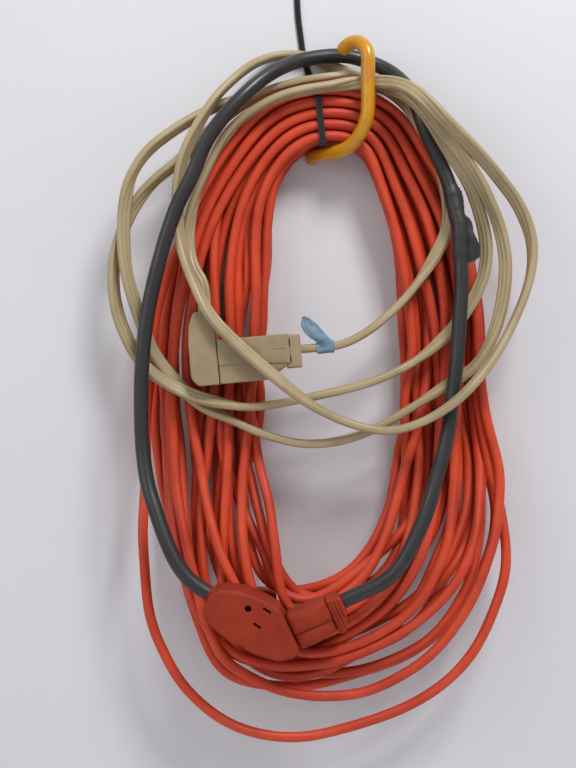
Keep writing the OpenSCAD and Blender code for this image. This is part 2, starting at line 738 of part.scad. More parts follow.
module tap_through_cuts() {
    for (side = [-1, 1])
        translate([side * blade_pitch / 2 - blade_t / 2 - blade_gap,
            -blade_w / 2 - blade_gap, -tap_t - 1])
            cube([blade_t + 2 * blade_gap, blade_w + 2 * blade_gap, tap_t + 2]);
    for (side = [-1, 1])
        translate([side * blade_pitch / 2 - jaw_w / 2, -blade_w / 2 - blade_gap,
            -tap_t + FACE_SKIN])
            cube([jaw_w, blade_w + 2 * blade_gap, tap_t - 2 * FACE_SKIN]);
    translate([0, -pin_offset, -tap_t - 1])
        cylinder(d = pin_d + 2 * blade_gap, h = tap_t + 2, $fn = COARSE);
    translate([0, -pin_offset, -tap_t + FACE_SKIN])
        cylinder(d = sleeve_out, h = tap_t - 2 * FACE_SKIN, $fn = COARSE);
}

module tap() {
    outline = [
        [ROUND_FACE[0], -17], [ROUND_FACE[0], 17], [-3, 21], [-8, 28], [-15, 36], [-21, 41],
        [-29, 46], [-37, 48.5], [-43, 45], [-49, 40], [-50, 36], [-49.5, 27], [-46, 19],
        [-41, 11], [-32, -1], [-28, -6], [-19, -14.5], [-14, -17.5], [-6, -18.5]
    ];
    color("orangered") difference() {
        at_round_pair() union() {
            pillow(outline, tap_t - 1.6, 1, 3);
            rotate([90, 0, 0]) translate([0, 0, -tap_t / 2]) linear_extrude(tap_t)
                offset(r = 3, $fn = COARSE) offset(delta = -9) polygon(outline);
        }
        at_round_pair() {
            round_face(ROUND_FACE[0], 1) outlet_cuts(blade_len + END_ROOM, pin_len + END_ROOM);
            tap_front() tap_through_cuts();
        }
        at_tap_entry() translate([0, 0, -tap_relief_len])
            cylinder(d = RELIEF_D, h = tap_relief_len + 8, $fn = COARSE);
    }
}

module tap_relief() {
    color("orangered") at_tap_entry() translate([0, 0, -tap_relief_len])
        cylinder(d = RELIEF_D, h = tap_relief_len, $fn = COARSE);
}

// The end outlet's clips and sleeve, and the pairs of leaves that serve front and back alike
module tap_contacts() {
    long = tap_t - 2 * FACE_SKIN;
    bridge = 0.6;
    color("gold") at_round_pair() {
        round_face(ROUND_FACE[0], 1) outlet_contacts(blade_len + END_ROOM, pin_len + END_ROOM);
        tap_front() translate([0, 0, -tap_t / 2]) {
            for (side = [-1, 1]) translate([side * blade_pitch / 2, 0, 0]) {
                for (leaf = [-1, 1])
                    translate([leaf * (jaw_gap + leaf_t) / 2, 0, 0])
                        cube([leaf_t, blade_w, long], center = true);
                cube([jaw_gap + leaf_t, blade_w, bridge], center = true);
            }
            translate([0, -pin_offset, -long / 2]) difference() {
                cylinder(d = sleeve_out, h = long, $fn = COARSE);
                translate([0, 0, -1]) cylinder(d = sleeve_in, h = long + 2, $fn = COARSE);
            }
        }
    }
}

module round_plug() {
    upper = [[ROUND_FACE[1], -6], [ROUND_FACE[1], 10.5], [plug_len - 5, 9], [plug_len, 8],
        [plug_len, -7]];
    lower = [[ROUND_FACE[1], -17.5], [ROUND_FACE[1], -3], [plug_len, -4], [plug_len, -16],
        [14, -18]];
    color("orangered") at_round_pair() difference() {
        union() {
            pillow(upper, plug_t, 1, 2.5);
            pillow(lower, plug_t - 6, 1, 2.5);
        }
        round_face(ROUND_FACE[1], -1) {
            blade_roots();
            pin_root();
        }
    }
}

module round_plug_grip() {
    end = plug_len + grip_len;
    body = [[plug_len, -18.5], [plug_len + 5, -19.5], [end, -6], [end, 5.5],
        [end - 2.8, 7], [plug_len, 8.5]];
    color("orangered") at_round_pair() difference() {
        pillow(body, plug_t - 3, 1, 2);
        for (x = [plug_len + 2.2:2.6:end - 2], side = [-1, 1])
            translate([x, side * (plug_t - 3) / 2 - 1, -30]) cube([1.1, 2, 50]);
    }
}

module round_plug_blades() {
    color("gold") at_round_pair() round_face(ROUND_FACE[1], -1) plug_blades();
}

module round_plug_pin() {
    color("gold") at_round_pair() round_face(ROUND_FACE[1], -1) plug_pin();
}

// ---------- the whole group ----------
hook_rod();
hook_coating();
cable_tie();
hank_cord();
hank_lead_in();
hank_lead_out();
hank_connector();
hank_connector_contacts();
hank_plug();
hank_plug_blades();
flat_cord();
flat_connector_lead();
flat_connector();
flat_connector_collar();
flat_connector_contacts();
cord_tape();
angle_plug();
angle_plug_blades();
angle_plug_pin();
tap_cord();
plug_cord();
splice_tape();
tap();
tap_relief();
tap_contacts();
round_plug();
round_plug_grip();
round_plug_blades();
round_plug_pin();
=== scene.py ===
"""Looks for three extension cords hung together on one coated wall hook.

A tied hank of round cord, a loosely looped flat cord and a short heavy cord with an
outlet tap hang on the hook. Sizes are in millimetres and become metres as each mesh is
made. +Z is up, the wall is the plane y = 0 and the cords hang at negative y.
"""

import logging
import math
from dataclasses import dataclass, field, replace
from enum import Enum
from typing import Callable, Optional, Sequence, Union

import bmesh
import bpy
import numpy as np
from mathutils import Matrix, Vector
from mathutils.kdtree import KDTree


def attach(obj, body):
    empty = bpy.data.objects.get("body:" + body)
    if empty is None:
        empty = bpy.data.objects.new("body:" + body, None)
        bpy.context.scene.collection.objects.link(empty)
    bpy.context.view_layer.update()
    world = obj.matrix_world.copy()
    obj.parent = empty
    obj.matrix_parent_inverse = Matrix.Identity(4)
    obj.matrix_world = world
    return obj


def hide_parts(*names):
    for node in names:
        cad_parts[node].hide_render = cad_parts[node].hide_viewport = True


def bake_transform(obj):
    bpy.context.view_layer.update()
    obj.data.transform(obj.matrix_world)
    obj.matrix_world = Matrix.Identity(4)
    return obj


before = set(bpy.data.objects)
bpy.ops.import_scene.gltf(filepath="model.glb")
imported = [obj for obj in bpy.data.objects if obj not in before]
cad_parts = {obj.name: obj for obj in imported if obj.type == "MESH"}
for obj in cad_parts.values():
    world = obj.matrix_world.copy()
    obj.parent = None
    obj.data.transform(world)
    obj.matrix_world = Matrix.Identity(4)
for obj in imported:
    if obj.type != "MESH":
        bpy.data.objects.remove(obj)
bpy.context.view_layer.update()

LOG = logging.getLogger("hung_cords")
MM = 0.001
Point = tuple[float, float, float]
Flat = tuple[float, float]
Corners = tuple[Point, ...]
Array = np.ndarray
Frames = tuple[Array, Array]
Section = Callable[[int, float], Array]
Socket = bpy.types.NodeSocket
Feeds = dict[Union[str, int], object]

NUMBER, COLOUR = "NodeSocketFloat", "NodeSocketColor"
VECTOR, SHAPE = "NodeSocketVector", "NodeSocketGeometry"
MASK_INPUTS = {"Vector": VECTOR, "Amount": NUMBER}
MIX_FIRST, MIX_SECOND, MIX_RESULT = 6, 7, 2

DUST = (200, 195, 188)
# How dark the painted shade in creases is, as a share of a finish's second mottle colour.
CREASE_SHADE = 0.45
COAT_ROUGHNESS = 0.1
SUBSURFACE_DEPTH = 2

# Edges that turn more than this many degrees stay sharp.
BLOCK_SHARP, SOFT_SHARP, CUT_SHARP, CORD_SHARP = 40.0, 50.0, 35.0, 70.0
# An outline's rounding: the most of a side that it takes, and its least radius and reach.
CORNER_ROOM, LEAST_RADIUS, LEAST_REACH = 0.48, 0.06, 0.02
# More room, in millimetres, than a cord can fill.
PLENTY = 99.0
# The parting line round a moulding: how far it stands out, and half its height.
SEAM, SEAM_HEIGHT = 0.12, 0.35
# How far from their middles the cords and the hook reach, with a little room.
HANK_REACH, HEAVY_REACH, HOOK_REACH, FLAT_REACH = 4.2, 5.7, 5.2, 3.4


class Body(str, Enum):
    """The moving bodies that pieces ride on."""

    HUNG = "hung_cords"
    ROUND_PLUG = "round_plug"
    FLAT_CONNECTOR = "flat_connector"


class Slot(str, Enum):
    """The record's material slots."""

    STEEL = "hook_steel"
    VINYL = "hook_vinyl"
    NYLON = "tie_nylon"
    ORANGE_JACKET = "orange_jacket"
    ORANGE_MOULDING = "orange_moulding"
    BEIGE_JACKET = "beige_jacket"
    BEIGE_MOULDING = "beige_moulding"
    DARK_JACKET = "dark_jacket"
    BLACK_TAPE = "black_tape"
    BLUE_TAPE = "blue_tape"
    BRASS = "contact_brass"


# ---------------------------------------------------------------- finishes


def linear(red: int, green: int, blue: int) -> tuple[float, float, float, float]:
    """Turns a colour as it is seen on a screen into Blender's linear values.

    Args:
        red: Red, 0 to 255.
        green: Green, 0 to 255.
        blue: Blue, 0 to 255.

    Returns:
        Linear red, green and blue, and an alpha of 1.
    """
    parts = []
    for value in (red, green, blue):
        share = value / 255
        parts.append(share / 12.92 if share <= 0.04045 else ((share + 0.055) / 1.055) ** 2.4)
    return (parts[0], parts[1], parts[2], 1.0)


class NodeSheet:
    """A small helper that lays out nodes in a tree."""

    def __init__(self, tree: bpy.types.NodeTree) -> None:
        """Keeps the tree and empties it."""
        self.tree = tree
        self.tree.nodes.clear()

    def add(self, kind: str, feeds: Optional[Feeds] = None, **values: object) -> bpy.types.Node:
        """Adds a node.

        Args:
            kind: The node's type name.
            feeds: What its inputs take, if anything.
            **values: Attributes to set on it.

        Returns:
            The new node.
        """
        node = self.tree.nodes.new(kind)
        for name, value in values.items():
            setattr(node, name, value)
        self.feed(node, feeds or {})
        return node

    def feed(self, node: bpy.types.Node, feeds: Feeds) -> None:
        """Sets a node's inputs.

        Args:
            node: The node.
            feeds: What each input takes: a plain value, or another node's socket to join.
        """
        for name, value in feeds.items():
            if isinstance(value, Socket):
                self.tree.links.new(value, node.inputs[name])
            else:
                node.inputs[name].default_value = value

    def noise(self, vector: Socket, scale: object, detail: float) -> Socket:
        """Adds a noise texture and gives its value's socket."""
        feeds = {"Vector": vector, "Scale": scale, "Detail": detail}
        return self.add("ShaderNodeTexNoise", feeds).outputs["Fac"]

    def mix_colour(self, factor: Socket, first: object, second: object) -> Socket:
        """Mixes two colours.

        Args:
            factor: The socket that blends them.
            first: A colour or a socket, shown at factor 0.
            second: A colour or a socket, shown at factor 1.

        Returns:
            The mixed colour's socket.
        """
        feeds = {"Factor": factor, MIX_FIRST: first, MIX_SECOND: second}
        return self.add("ShaderNodeMix", feeds, data_type="RGBA").outputs[MIX_RESULT]

    def remap(
        self, value: Socket, low: float, high: float, to_low: object = 0.0, to_high: object = 1.0
    ) -> Socket:
        """Maps a value's range to another one.

        Args:
            value: The socket to map.
            low: The start of its range.
            high: The end of its range.
            to_low: What the start becomes, a number or a socket.
            to_high: What the end becomes, a number or a socket.

        Returns:
            The mapped value's socket.
        """
        feeds = {"Value": value, "From Min": low, "From Max": high}
        feeds.update({"To Min": to_low, "To Max": to_high})
        return self.add("ShaderNodeMapRange", feeds).outputs["Result"]

    def maths(self, kind: str, first: object, second: object) -> Socket:
        """Adds a Math node and gives its result's socket."""
        return self.add("ShaderNodeMath", {0: first, 1: second}, operation=kind).outputs[0]


def new_group(
    name: str, takes: dict[str, str], gives: dict[str, str], kind: str = "ShaderNodeTree"
) -> tuple[bpy.types.NodeTree, NodeSheet, bpy.types.NodeOutputs, bpy.types.Node]:
    """Starts a node group with named sockets.

    Args:
        name: The group's name.
        takes: The socket type of each input, by name.
        gives: The socket type of each output, by name.
        kind: The tree's type.

    Returns:
        The group's tree, its sheet, what comes into it and its output node.
    """
    tree = bpy.data.node_groups.new(name, kind)
    for way, sockets in (("INPUT", takes), ("OUTPUT", gives)):
        for label, socket in sockets.items():
            tree.interface.new_socket(name=label, in_out=way, socket_type=socket)
    sheet = NodeSheet(tree)
    return tree, sheet, sheet.add("NodeGroupInput").outputs, sheet.add("NodeGroupOutput")


def build_skin_group() -> bpy.types.NodeTree:
    """Builds the effect of a moulded or extruded vinyl skin: mottled colour, grain, uneven gloss.

    Returns:
        The group's tree.
    """
    scales = dict.fromkeys(("Mottle Scale", "Grain Scale", "Gloss Low", "Gloss High"), NUMBER)
    tree, sheet, source, target = new_group(
        "vinyl_skin",
        {"Vector": VECTOR, "Base": COLOUR, "Shade": COLOUR, **scales},
        {"Color": COLOUR, "Roughness": NUMBER, "Height": NUMBER},
    )
    mottle = sheet.noise(source["Vector"], source["Mottle Scale"], 4)
    grain = sheet.noise(source["Vector"], source["Grain Scale"], 2)
    share = sheet.remap(mottle, 0.38, 0.68)
    gloss = sheet.remap(mottle, 0.3, 0.7, source["Gloss Low"], source["Gloss High"])
    sheet.feed(target, {
        "Color": sheet.mix_colour(share, source["Base"], source["Shade"]),
        "Roughness": gloss,
        "Height": sheet.maths("ADD", grain, mottle),
    })
    return tree


def build_dust_group() -> bpy.types.NodeTree:
    """Builds the effect of pale dust that settles on what faces up.

    Returns:
        The group's tree.
    """
    tree, sheet, source, target = new_group("settled_dust", MASK_INPUTS, {"Mask": NUMBER})
    facing = sheet.add("ShaderNodeNewGeometry").outputs["Normal"]
    split = sheet.add("ShaderNodeSeparateXYZ", {0: facing})
    up = sheet.remap(split.outputs["Z"], -0.1, 1.0)
    patch = sheet.remap(sheet.noise(source["Vector"], 60.0, 5), 0.35, 0.75, 0.2)
    both = sheet.maths("MULTIPLY", up, patch)
    sheet.feed(target, {"Mask": sheet.maths("MULTIPLY", both, source["Amount"])})
    return tree


def build_wear_and_painted_shade_group() -> bpy.types.NodeTree:
    """Builds the effect of rubbed edges, and painted shade: a darker colour in creases and hollows.

    Returns:
        The group's tree.
    """
    tree, sheet, source, target = new_group(
        "rubbed_edges_and_painted_shade", MASK_INPUTS, {"Edge": NUMBER, "Crease Shade": NUMBER}
    )
    shape = sheet.add("ShaderNodeNewGeometry").outputs["Pointiness"]
    broken = sheet.remap(sheet.noise(source["Vector"], 220.0, 4), 0.35, 0.65, 0.3)
    # Lighter convex edges: wear, and on the blue tape a painted highlight.
    edge = sheet.maths("MULTIPLY", sheet.remap(shape, 0.52, 0.62), broken)
    # Painted shade: hollow places, found by pointiness, are darkened.
    crease_shade = sheet.remap(shape, 0.49, 0.42)
    sheet.feed(target, {
        "Edge": sheet.maths("MULTIPLY", edge, source["Amount"]),
        "Crease Shade": sheet.maths("MULTIPLY", crease_shade, source["Amount"]),
    })
    return tree


@dataclass(frozen=True)
class SharedEffects:
    """The shader groups that more than one finish uses."""

    skin: bpy.types.NodeTree
    dust: bpy.types.NodeTree
    wear_and_painted_light: bpy.types.NodeTree


@dataclass(frozen=True)
class Finish:
    """One procedural finish: a coloured skin with grain, dust, lighter edges that are worn (a
    painted highlight on the blue tape) and painted shade in its creases.
    """

    slot: Slot
    base: tuple[int, int, int]
    shade: tuple[int, int, int]
    # The lighter colour of edges: wear, and on the blue tape a painted highlight.
    worn: tuple[int, int, int]
    rough: tuple[float, float]
    mottle: float = 40.0
    grain: float = 900.0
    bump: float = 0.15
    bump_mm: float = 0.15
    dust: float = 0.15
    # How strong the lighter edges and the painted shade in creases are.
    wear_and_painted_light: float = 0.5
    metal: float = 0.0
    coat: float = 0.0
    specular: float = 0.5
    subsurface: float = 0.0

    def build(self, effects: SharedEffects) -> bpy.types.Material:
        """Builds the material.

        Args:
            effects: The shared shader groups.

        Returns:
            The finished material.
        """
        material = bpy.data.materials.new(self.slot.value)
        material.use_nodes = True
        sheet = NodeSheet(material.node_tree)
        place = sheet.add("ShaderNodeTexCoord").outputs["Object"]
        skin = sheet.add("ShaderNodeGroup", {
            "Vector": place, "Base": linear(*self.base), "Shade": linear(*self.shade),
            "Mottle Scale": self.mottle, "Grain Scale": self.grain,
            "Gloss Low": self.rough[0], "Gloss High": self.rough[1],
        }, node_tree=effects.skin).outputs
        colour = skin["Color"]
        # Lighter edges, then painted shade: a darker colour in creases.
        if self.wear_and_painted_light > 0:
            feeds = {"Vector": place, "Amount": self.wear_and_painted_light}
            edges_and_shade = sheet.add("ShaderNodeGroup", feeds, node_tree=effects.wear_and_painted_light).outputs
            colour = sheet.mix_colour(edges_and_shade["Edge"], colour, linear(*self.worn))
            crease_shade_colour = tuple(round(part * CREASE_SHADE) for part in self.shade)
            colour = sheet.mix_colour(edges_and_shade["Crease Shade"], colour, linear(*crease_shade_colour))
        if self.dust > 0:
            feeds = {"Vector": place, "Amount": self.dust}
            fall = sheet.add("ShaderNodeGroup", feeds, node_tree=effects.dust).outputs
            colour = sheet.mix_colour(fall["Mask"], colour, linear(*DUST))
        bump = sheet.add("ShaderNodeBump", {
            "Height": skin["Height"], "Strength": self.bump, "Distance": self.bump_mm * MM,
        })
        shader = sheet.add("ShaderNodeBsdfPrincipled", {
            "Base Color": colour, "Roughness": skin["Roughness"],
            "Normal": bump.outputs["Normal"], "Metallic": self.metal,
            "Coat Weight": self.coat, "Coat Roughness": COAT_ROUGHNESS,
            "Specular IOR Level": self.specular, "Subsurface Weight": self.subsurface,
            "Subsurface Scale": SUBSURFACE_DEPTH * MM,
        })
        sheet.add("ShaderNodeOutputMaterial", {"Surface": shader.outputs["BSDF"]})
        return material


FINISHES = (
    Finish(Slot.STEEL, (158, 158, 162), (120, 120, 124), (190, 190, 192), (0.3, 0.45), metal=1.0),
    Finish(
        Slot.VINYL, (208, 150, 8), (190, 122, 4), (222, 170, 56), (0.24, 0.4), mottle=38.0,
        grain=300.0, bump=0.12, dust=0.02, coat=0.25,
    ),
    Finish(
        Slot.NYLON, (36, 34, 36), (24, 24, 25), (84, 84, 86), (0.2, 0.32), mottle=120.0,
        grain=1500.0, dust=0.05, wear_and_painted_light=0.4,
    ),
    Finish(
        Slot.ORANGE_JACKET, (212, 72, 38), (184, 53, 27), (226, 120, 94), (0.36, 0.56),
        mottle=22.0, grain=200.0, bump=0.3, bump_mm=0.4, dust=0.04, wear_and_painted_light=0.0, specular=0.4,
    ),
    Finish(
        Slot.ORANGE_MOULDING, (156, 46, 18), (138, 38, 14), (176, 76, 44), (0.5, 0.68),
        mottle=60.0, grain=1200.0, bump=0.25, dust=0.03, wear_and_painted_light=0.3, specular=0.3,
    ),
    Finish(
        Slot.BEIGE_JACKET, (176, 158, 122), (158, 140, 104), (206, 198, 176), (0.34, 0.5),
        mottle=30.0, grain=500.0, bump=0.15, bump_mm=0.2, dust=0.05, wear_and_painted_light=0.0, subsurface=0.05,
    ),
    Finish(
        Slot.BEIGE_MOULDING, (158, 139, 107), (142, 123, 92), (186, 172, 142), (0.42, 0.56),
        mottle=50.0, grain=1100.0, bump=0.2, dust=0.06, wear_and_painted_light=0.4,
    ),
    Finish(
        Slot.DARK_JACKET, (46, 45, 45), (35, 34, 35), (98, 97, 96), (0.28, 0.5),
        mottle=44.0, grain=600.0, bump=0.3, bump_mm=0.2, dust=0.05, wear_and_painted_light=0.0,
    ),
    Finish(
        Slot.BLACK_TAPE, (50, 49, 48), (38, 37, 37), (92, 90, 88), (0.36, 0.55), mottle=90.0,
        grain=800.0, bump=0.3, dust=0.05, wear_and_painted_light=0.5,
    ),
    # The blue tape's pale teal edge colour, strong on its folds, is a painted highlight; its
    # creases get painted shade.
    Finish(
        Slot.BLUE_TAPE, (118, 146, 164), (84, 114, 138), (176, 204, 214), (0.45, 0.6),
        mottle=160.0, grain=700.0, bump=0.4, bump_mm=0.25, dust=0.04, wear_and_painted_light=0.8,
    ),
    Finish(Slot.BRASS, (206, 170, 96), (178, 142, 76), (226, 200, 140), (0.25, 0.4), metal=1.0),
)


# ---------------------------------------------------------------- mesh making


def turned(degrees: float, axis: str = "Y") -> Matrix:
    """Gives a turn about an axis."""
    return Matrix.Rotation(math.radians(degrees), 4, axis)


def shifted(x: float, y: float, z: float) -> Matrix:
    """Gives a shift, in millimetres."""
    return Matrix.Translation((x, y, z))


@dataclass(frozen=True)
class Shell:
    """Points and faces of a mesh being made, in millimetres."""

    points: Array
    faces: Sequence[tuple[int, ...]]

    def moved(self, place: Matrix) -> "Shell":
        """Gives the shell moved by a matrix in millimetres."""
        points = self.points @ np.array(place.to_3x3()).T + np.array(place.to_translation())
        return Shell(points, self.faces)

    def build(
        self, name: str, material: bpy.types.Material, sharp: float = BLOCK_SHARP
    ) -> bpy.types.Object:
        """Makes the object at the origin, with outward faces.

        Args:
            name: The object's name.
            material: Its finish.
            sharp: Edges that turn more than this many degrees stay sharp.

        Returns:
            The new object.
        """
        mesh = bpy.data.meshes.new(name)
        mesh.from_pydata((self.points * MM).tolist(), [], self.faces)
        mesh.materials.append(material)
        tidy_mesh(mesh, sharp)
        return linked(name, mesh)


def linked(name: str, data: bpy.types.ID) -> bpy.types.Object:
    """Makes an object and puts it in the scene.

    Args:
        name: Its name.
        data: Its mesh, curve, lamp or camera.

    Returns:
        The object.
    """
    made = bpy.data.objects.new(name, data)
    bpy.context.scene.collection.objects.link(made)
    return made


def shade(mesh: bpy.types.Mesh, sharp: float) -> None:
    """Shades a mesh smooth, apart from edges that turn more than some degrees.

    Args:
        mesh: The mesh.
        sharp: Edges that turn more than this many degrees stay sharp.
    """
    mesh.polygons.foreach_set("use_smooth", [True] * len(mesh.polygons))
    mesh.set_sharp_from_angle(angle=math.radians(sharp))
    mesh.update()


def tidy_mesh(mesh: bpy.types.Mesh, sharp: float) -> None:
    """Turns a closed mesh's faces outward and shades it smooth up to an angle.

    Args:
        mesh: The mesh.
        sharp: Edges that turn more than this many degrees stay sharp.
    """
    work = bmesh.new()
    work.from_mesh(mesh)
    bmesh.ops.remove_doubles(work, verts=work.verts, dist=1e-7)
    bmesh.ops.recalc_face_normals(work, faces=work.faces)
    work.to_mesh(mesh)
    work.free()
    shade(mesh, sharp)


def catmull_point(a: Array, b: Array, c: Array, d: Array, t: float) -> Array:
    """Gives the point at a share between b and c on the smooth line a, b, c, d."""
    return 0.5 * (
        2 * b + (c - a) * t + (2 * a - 5 * b + 4 * c - d) * t * t + (3 * b - a - 3 * c + d) * t**3
    )


def catmull(points: Array, per_span: int) -> Array:
    """Runs a smooth line through points.

    Args:
        points: The points to pass.
        per_span: Steps between two of them.

    Returns:
        The line's points.
    """
    ends = np.vstack([2 * points[0] - points[1], points, 2 * points[-1] - points[-2]])
    line = [
        catmull_point(*ends[i - 1 : i + 3], k / per_span)
        for i in range(1, len(ends) - 2)
        for k in range(per_span)
    ]
    return np.array([*line, points[-1]])


def run_along(line: Array) -> Array:
    """Gives the distance along a line at each of its points."""
    return np.concatenate([[0], np.cumsum(np.linalg.norm(np.diff(line, axis=0), axis=1))])


def spread_along(line: Array, at: Array) -> Array:
    """Gives a line's points at distances along it."""
    run = run_along(line)
    return np.stack([np.interp(at, run, axis) for axis in line.T], axis=1)


def even_steps(line: Array, step: float) -> Array:
    """Sets a line's points at even steps along it.

    Args:
        line: The line.
        step: About how far apart the points are to be.

    Returns:
        The new points, with the ends kept.
    """
    total = run_along(line)[-1]
    return spread_along(line, np.linspace(0, total, max(2, round(total / step)) + 1))


def soften(line: Array, passes: int) -> Array:
    """Eases small kinks out of a line, with its ends kept.

    Args:
        line: The line.
        passes: How often each point moves to the middle of its neighbours.

    Returns:
        The eased line.
    """
    out = line.copy()
    for _ in range(passes):
        out[2:-2] = 0.25 * out[1:-3] + 0.5 * out[2:-2] + 0.25 * out[3:-1]
    return out


def eased_bends(line: Array, least: float, passes: int = 60) -> Array:
    """Opens the bends of a line that are tighter than a radius, and leaves the rest alone.

    Args:
        line: The line's points, at about even steps.
        least: The least radius of a bend.
        passes: The most rounds of easing.

    Returns:
        The eased line.
    """
    eased = line.copy()
    for _ in range(passes):
        way = np.diff(eased, axis=0)
        long = np.linalg.norm(way, axis=1)
        way /= long[:, None]
        turn = np.arccos(np.clip((way[1:] * way[:-1]).sum(axis=1), -1, 1))
        tight = (turn * least > long[1:]).astype(float)
        if not tight.any():
            break
        near = (np.convolve(tight, np.ones(5), "same") > 0)[:, None]
        eased[1:-1] += 0.4 * near * (0.5 * (eased[:-2] + eased[2:]) - eased[1:-1])
    return eased


def headings(line: Array) -> Array:
    """Gives a line's direction at each of its points.

    Args:
        line: The line.

    Returns:
        The directions, each of length 1.
    """
    ahead = np.vstack([line[1:], line[-1:]])
    behind = np.vstack([line[:1], line[:-1]])
    way = ahead - behind
    return way / np.linalg.norm(way, axis=1, keepdims=True)


def carried_frames(line: Array) -> Frames:
    """Gives two cross directions that a round cord carries along without twisting.

    Args:
        line: The line.

    Returns:
        The two directions at each point.
    """
    way = headings(line)
    side = np.zeros_like(way)
    first = np.cross(way[0], (0, 1, 0))
    if np.linalg.norm(first) < 0.1:
        first = np.cross(way[0], (0, 0, 1))
    side[0] = unit_way(first)
    for i in range(1, len(line)):
        kept = side[i - 1] - way[i] * np.dot(side[i - 1], way[i])
        side[i] = unit_way(kept)
    return side, np.cross(side, way)


def wall_frames(line: Array) -> Frames:
    """Gives cross directions that keep a flat cord's broad side towards the room.

    Args:
        line: The line.

    Returns:
        The direction of its width and the direction of its thickness at each point.
    """
    way = headings(line)
    side = np.cross(way, np.array([0.0, -1.0, 0.0]))
    side /= np.linalg.norm(side, axis=1, keepdims=True)
    return side, np.cross(side, way)


def ring_faces(rows: int, count: int) -> list[tuple[int, ...]]:
    """Gives the faces that join each of some rings to the next.

    Args:
        rows: How many rings there are.
        count: How many points each has.

    Returns:
        The faces.
    """
    faces: list[tuple[int, ...]] = []
    for i in range(rows - 1):
        for k in range(count):
            a, b = i * count + k, i * count + (k + 1) % count
            faces.append((a, b, b + count, a + count))
    return faces


def sweep(line: Array, frames: Frames, profile: Section, cap: bool = True) -> Shell:
    """Sweeps a closed profile along a line.

    Args:
        line: The line, in millimetres.
        frames: The profile's first and second directions at each point.
        profile: Gives the profile's points from a ring's number and its distance along.
        cap: Whether the ends are closed.

    Returns:
        The shell.
    """
    rings = []
    for i, (centre, side, front, run) in enumerate(zip(line, *frames, run_along(line))):
        shape = profile(i, float(run))
        rings.append(centre + shape[:, :1] * side + shape[:, 1:] * front)
    sides = len(rings[0])
    faces = ring_faces(len(line), sides)
    if cap:
        last = (len(line) - 1) * sides
        faces += [tuple(range(sides - 1, -1, -1)), tuple(last + k for k in range(sides))]
    return Shell(np.vstack(rings), faces)


def fan_shell(rings: Sequence[Array], low: Point, high: Point) -> Shell:
    """Makes a closed shell of rings that closes in a point at each end.

    Args:
        rings: The rings, each of as many points.
        low: The point before the first ring.
        high: The point after the last one.

    Returns:
        The shell.
    """
    count = len(rings[0])
    faces = ring_faces(len(rings), count)
    start, last = len(rings) * count, (len(rings) - 1) * count
    for k in range(count):
        after = (k + 1) % count
        faces += [(start, after, k), (start + 1, last + k, last + after)]
    return Shell(np.vstack([*rings, [low, high]]), faces)


def angles(sides: int) -> Array:
    """Gives even angles round a full turn."""
    return np.linspace(0, 2 * math.pi, sides, endpoint=False)


def polar(reach: object, turn: Array) -> Array:
    """Gives the points at angles round a middle, each at its reach."""
    return np.stack([reach * np.cos(turn), reach * np.sin(turn)], axis=1)


def squared(turn: Array, wide: float, deep: float, square: float) -> tuple[Array, Array]:
    """Gives a rounded oblong's points across and out.

    Args:
        turn: The angle of each point.
        wide: Half its width.
        deep: Half its depth.
        square: How square its corners are: 2 for an ellipse, more for an oblong.

    Returns:
        The points' places across, and their places out.
    """
    across, out = np.cos(turn), np.sin(turn)
    return (
        wide * np.sign(across) * np.abs(across) ** (2 / square),
        deep * np.sign(out) * np.abs(out) ** (2 / square),
    )


def circle(radius: float, sides: int) -> Array:
    """Gives a circle's points."""
    return polar(radius, angles(sides))


def unit_way(way: Array) -> Array:
    """Gives a direction of length 1."""
    return way / np.linalg.norm(way)


def corner_reach(
    here: Array, before: Array, after: Array, radius: float
) -> tuple[Array, Array, float, float]:
    """Gives how a corner of an outline is rounded.

    Args:
        here: The corner.
        before: The corner before it.
        after: The corner after it.
        radius: The radius that it is to have.

    Returns:
        The ways back and on, half the angle between them, and how far from the corner its
        rounding may start.
    """
    back, on = before - here, after - here
    room = CORNER_ROOM * min(np.linalg.norm(back), np.linalg.norm(on))
    back, on = unit_way(back), unit_way(on)
    half = math.acos(float(np.clip(np.dot(back, on), -1, 1))) / 2
    return back, on, half, min(room, radius / max(math.tan(half), 1e-3))


def bend(start: Array, here: Array, end: Array, steps: int) -> Array:
    """Gives a smooth bend from one point to another that leans towards a third."""
    t = np.linspace(0, 1, steps)[:, None]
    return (1 - t) ** 2 * start + 2 * t * (1 - t) * here + t**2 * end


def rounded_outline(corners: Corners, step: float) -> Array:
    """Rounds each corner of an outline and sets points along it at even steps.

    Args:
        corners: Across, up and the corner's radius, in order round the outline.
        step: About how far apart the points are to be.

    Returns:
        The outline's points.
    """
    spots = np.array([c[:2] for c in corners], float)
    path: list[Array] = []
    for i, here in enumerate(spots):
        after = spots[(i + 1) % len(spots)]
        back, on, half, reach = corner_reach(here, spots[i - 1], after, corners[i][2])
        if half > math.radians(89) or reach < 0.05:
            path.append(here)
        else:
            path.extend(bend(here + back * reach, here, here + on * reach, 9))
    loop = np.array([*path, path[0]])
    total = run_along(loop)[-1]
    return spread_along(loop, np.linspace(0, total, max(24, round(total / step)), endpoint=False))


def oblong(x0: float, z0: float, x1: float, z1: float, radius: float) -> Corners:
    """Gives the corners of an upright oblong, each with one radius."""
    return ((x0, z0, radius), (x1, z0, radius), (x1, z1, radius), (x0, z1, radius))


@dataclass
class Placed:
    """Something drawn in a frame of its own, which is tilted and moved into place."""

    at: Point
    tilt: float

    @property
    def place(self) -> Matrix:
        """Where its own frame lies."""
        return shifted(*self.at) @ turned(self.tilt)

    def block(self, *sizes: object) -> Shell:
        """Makes a moulded block's shell from its outline, thickness, edge and crown."""
        return Cushioned(*sizes).shell(self.place)


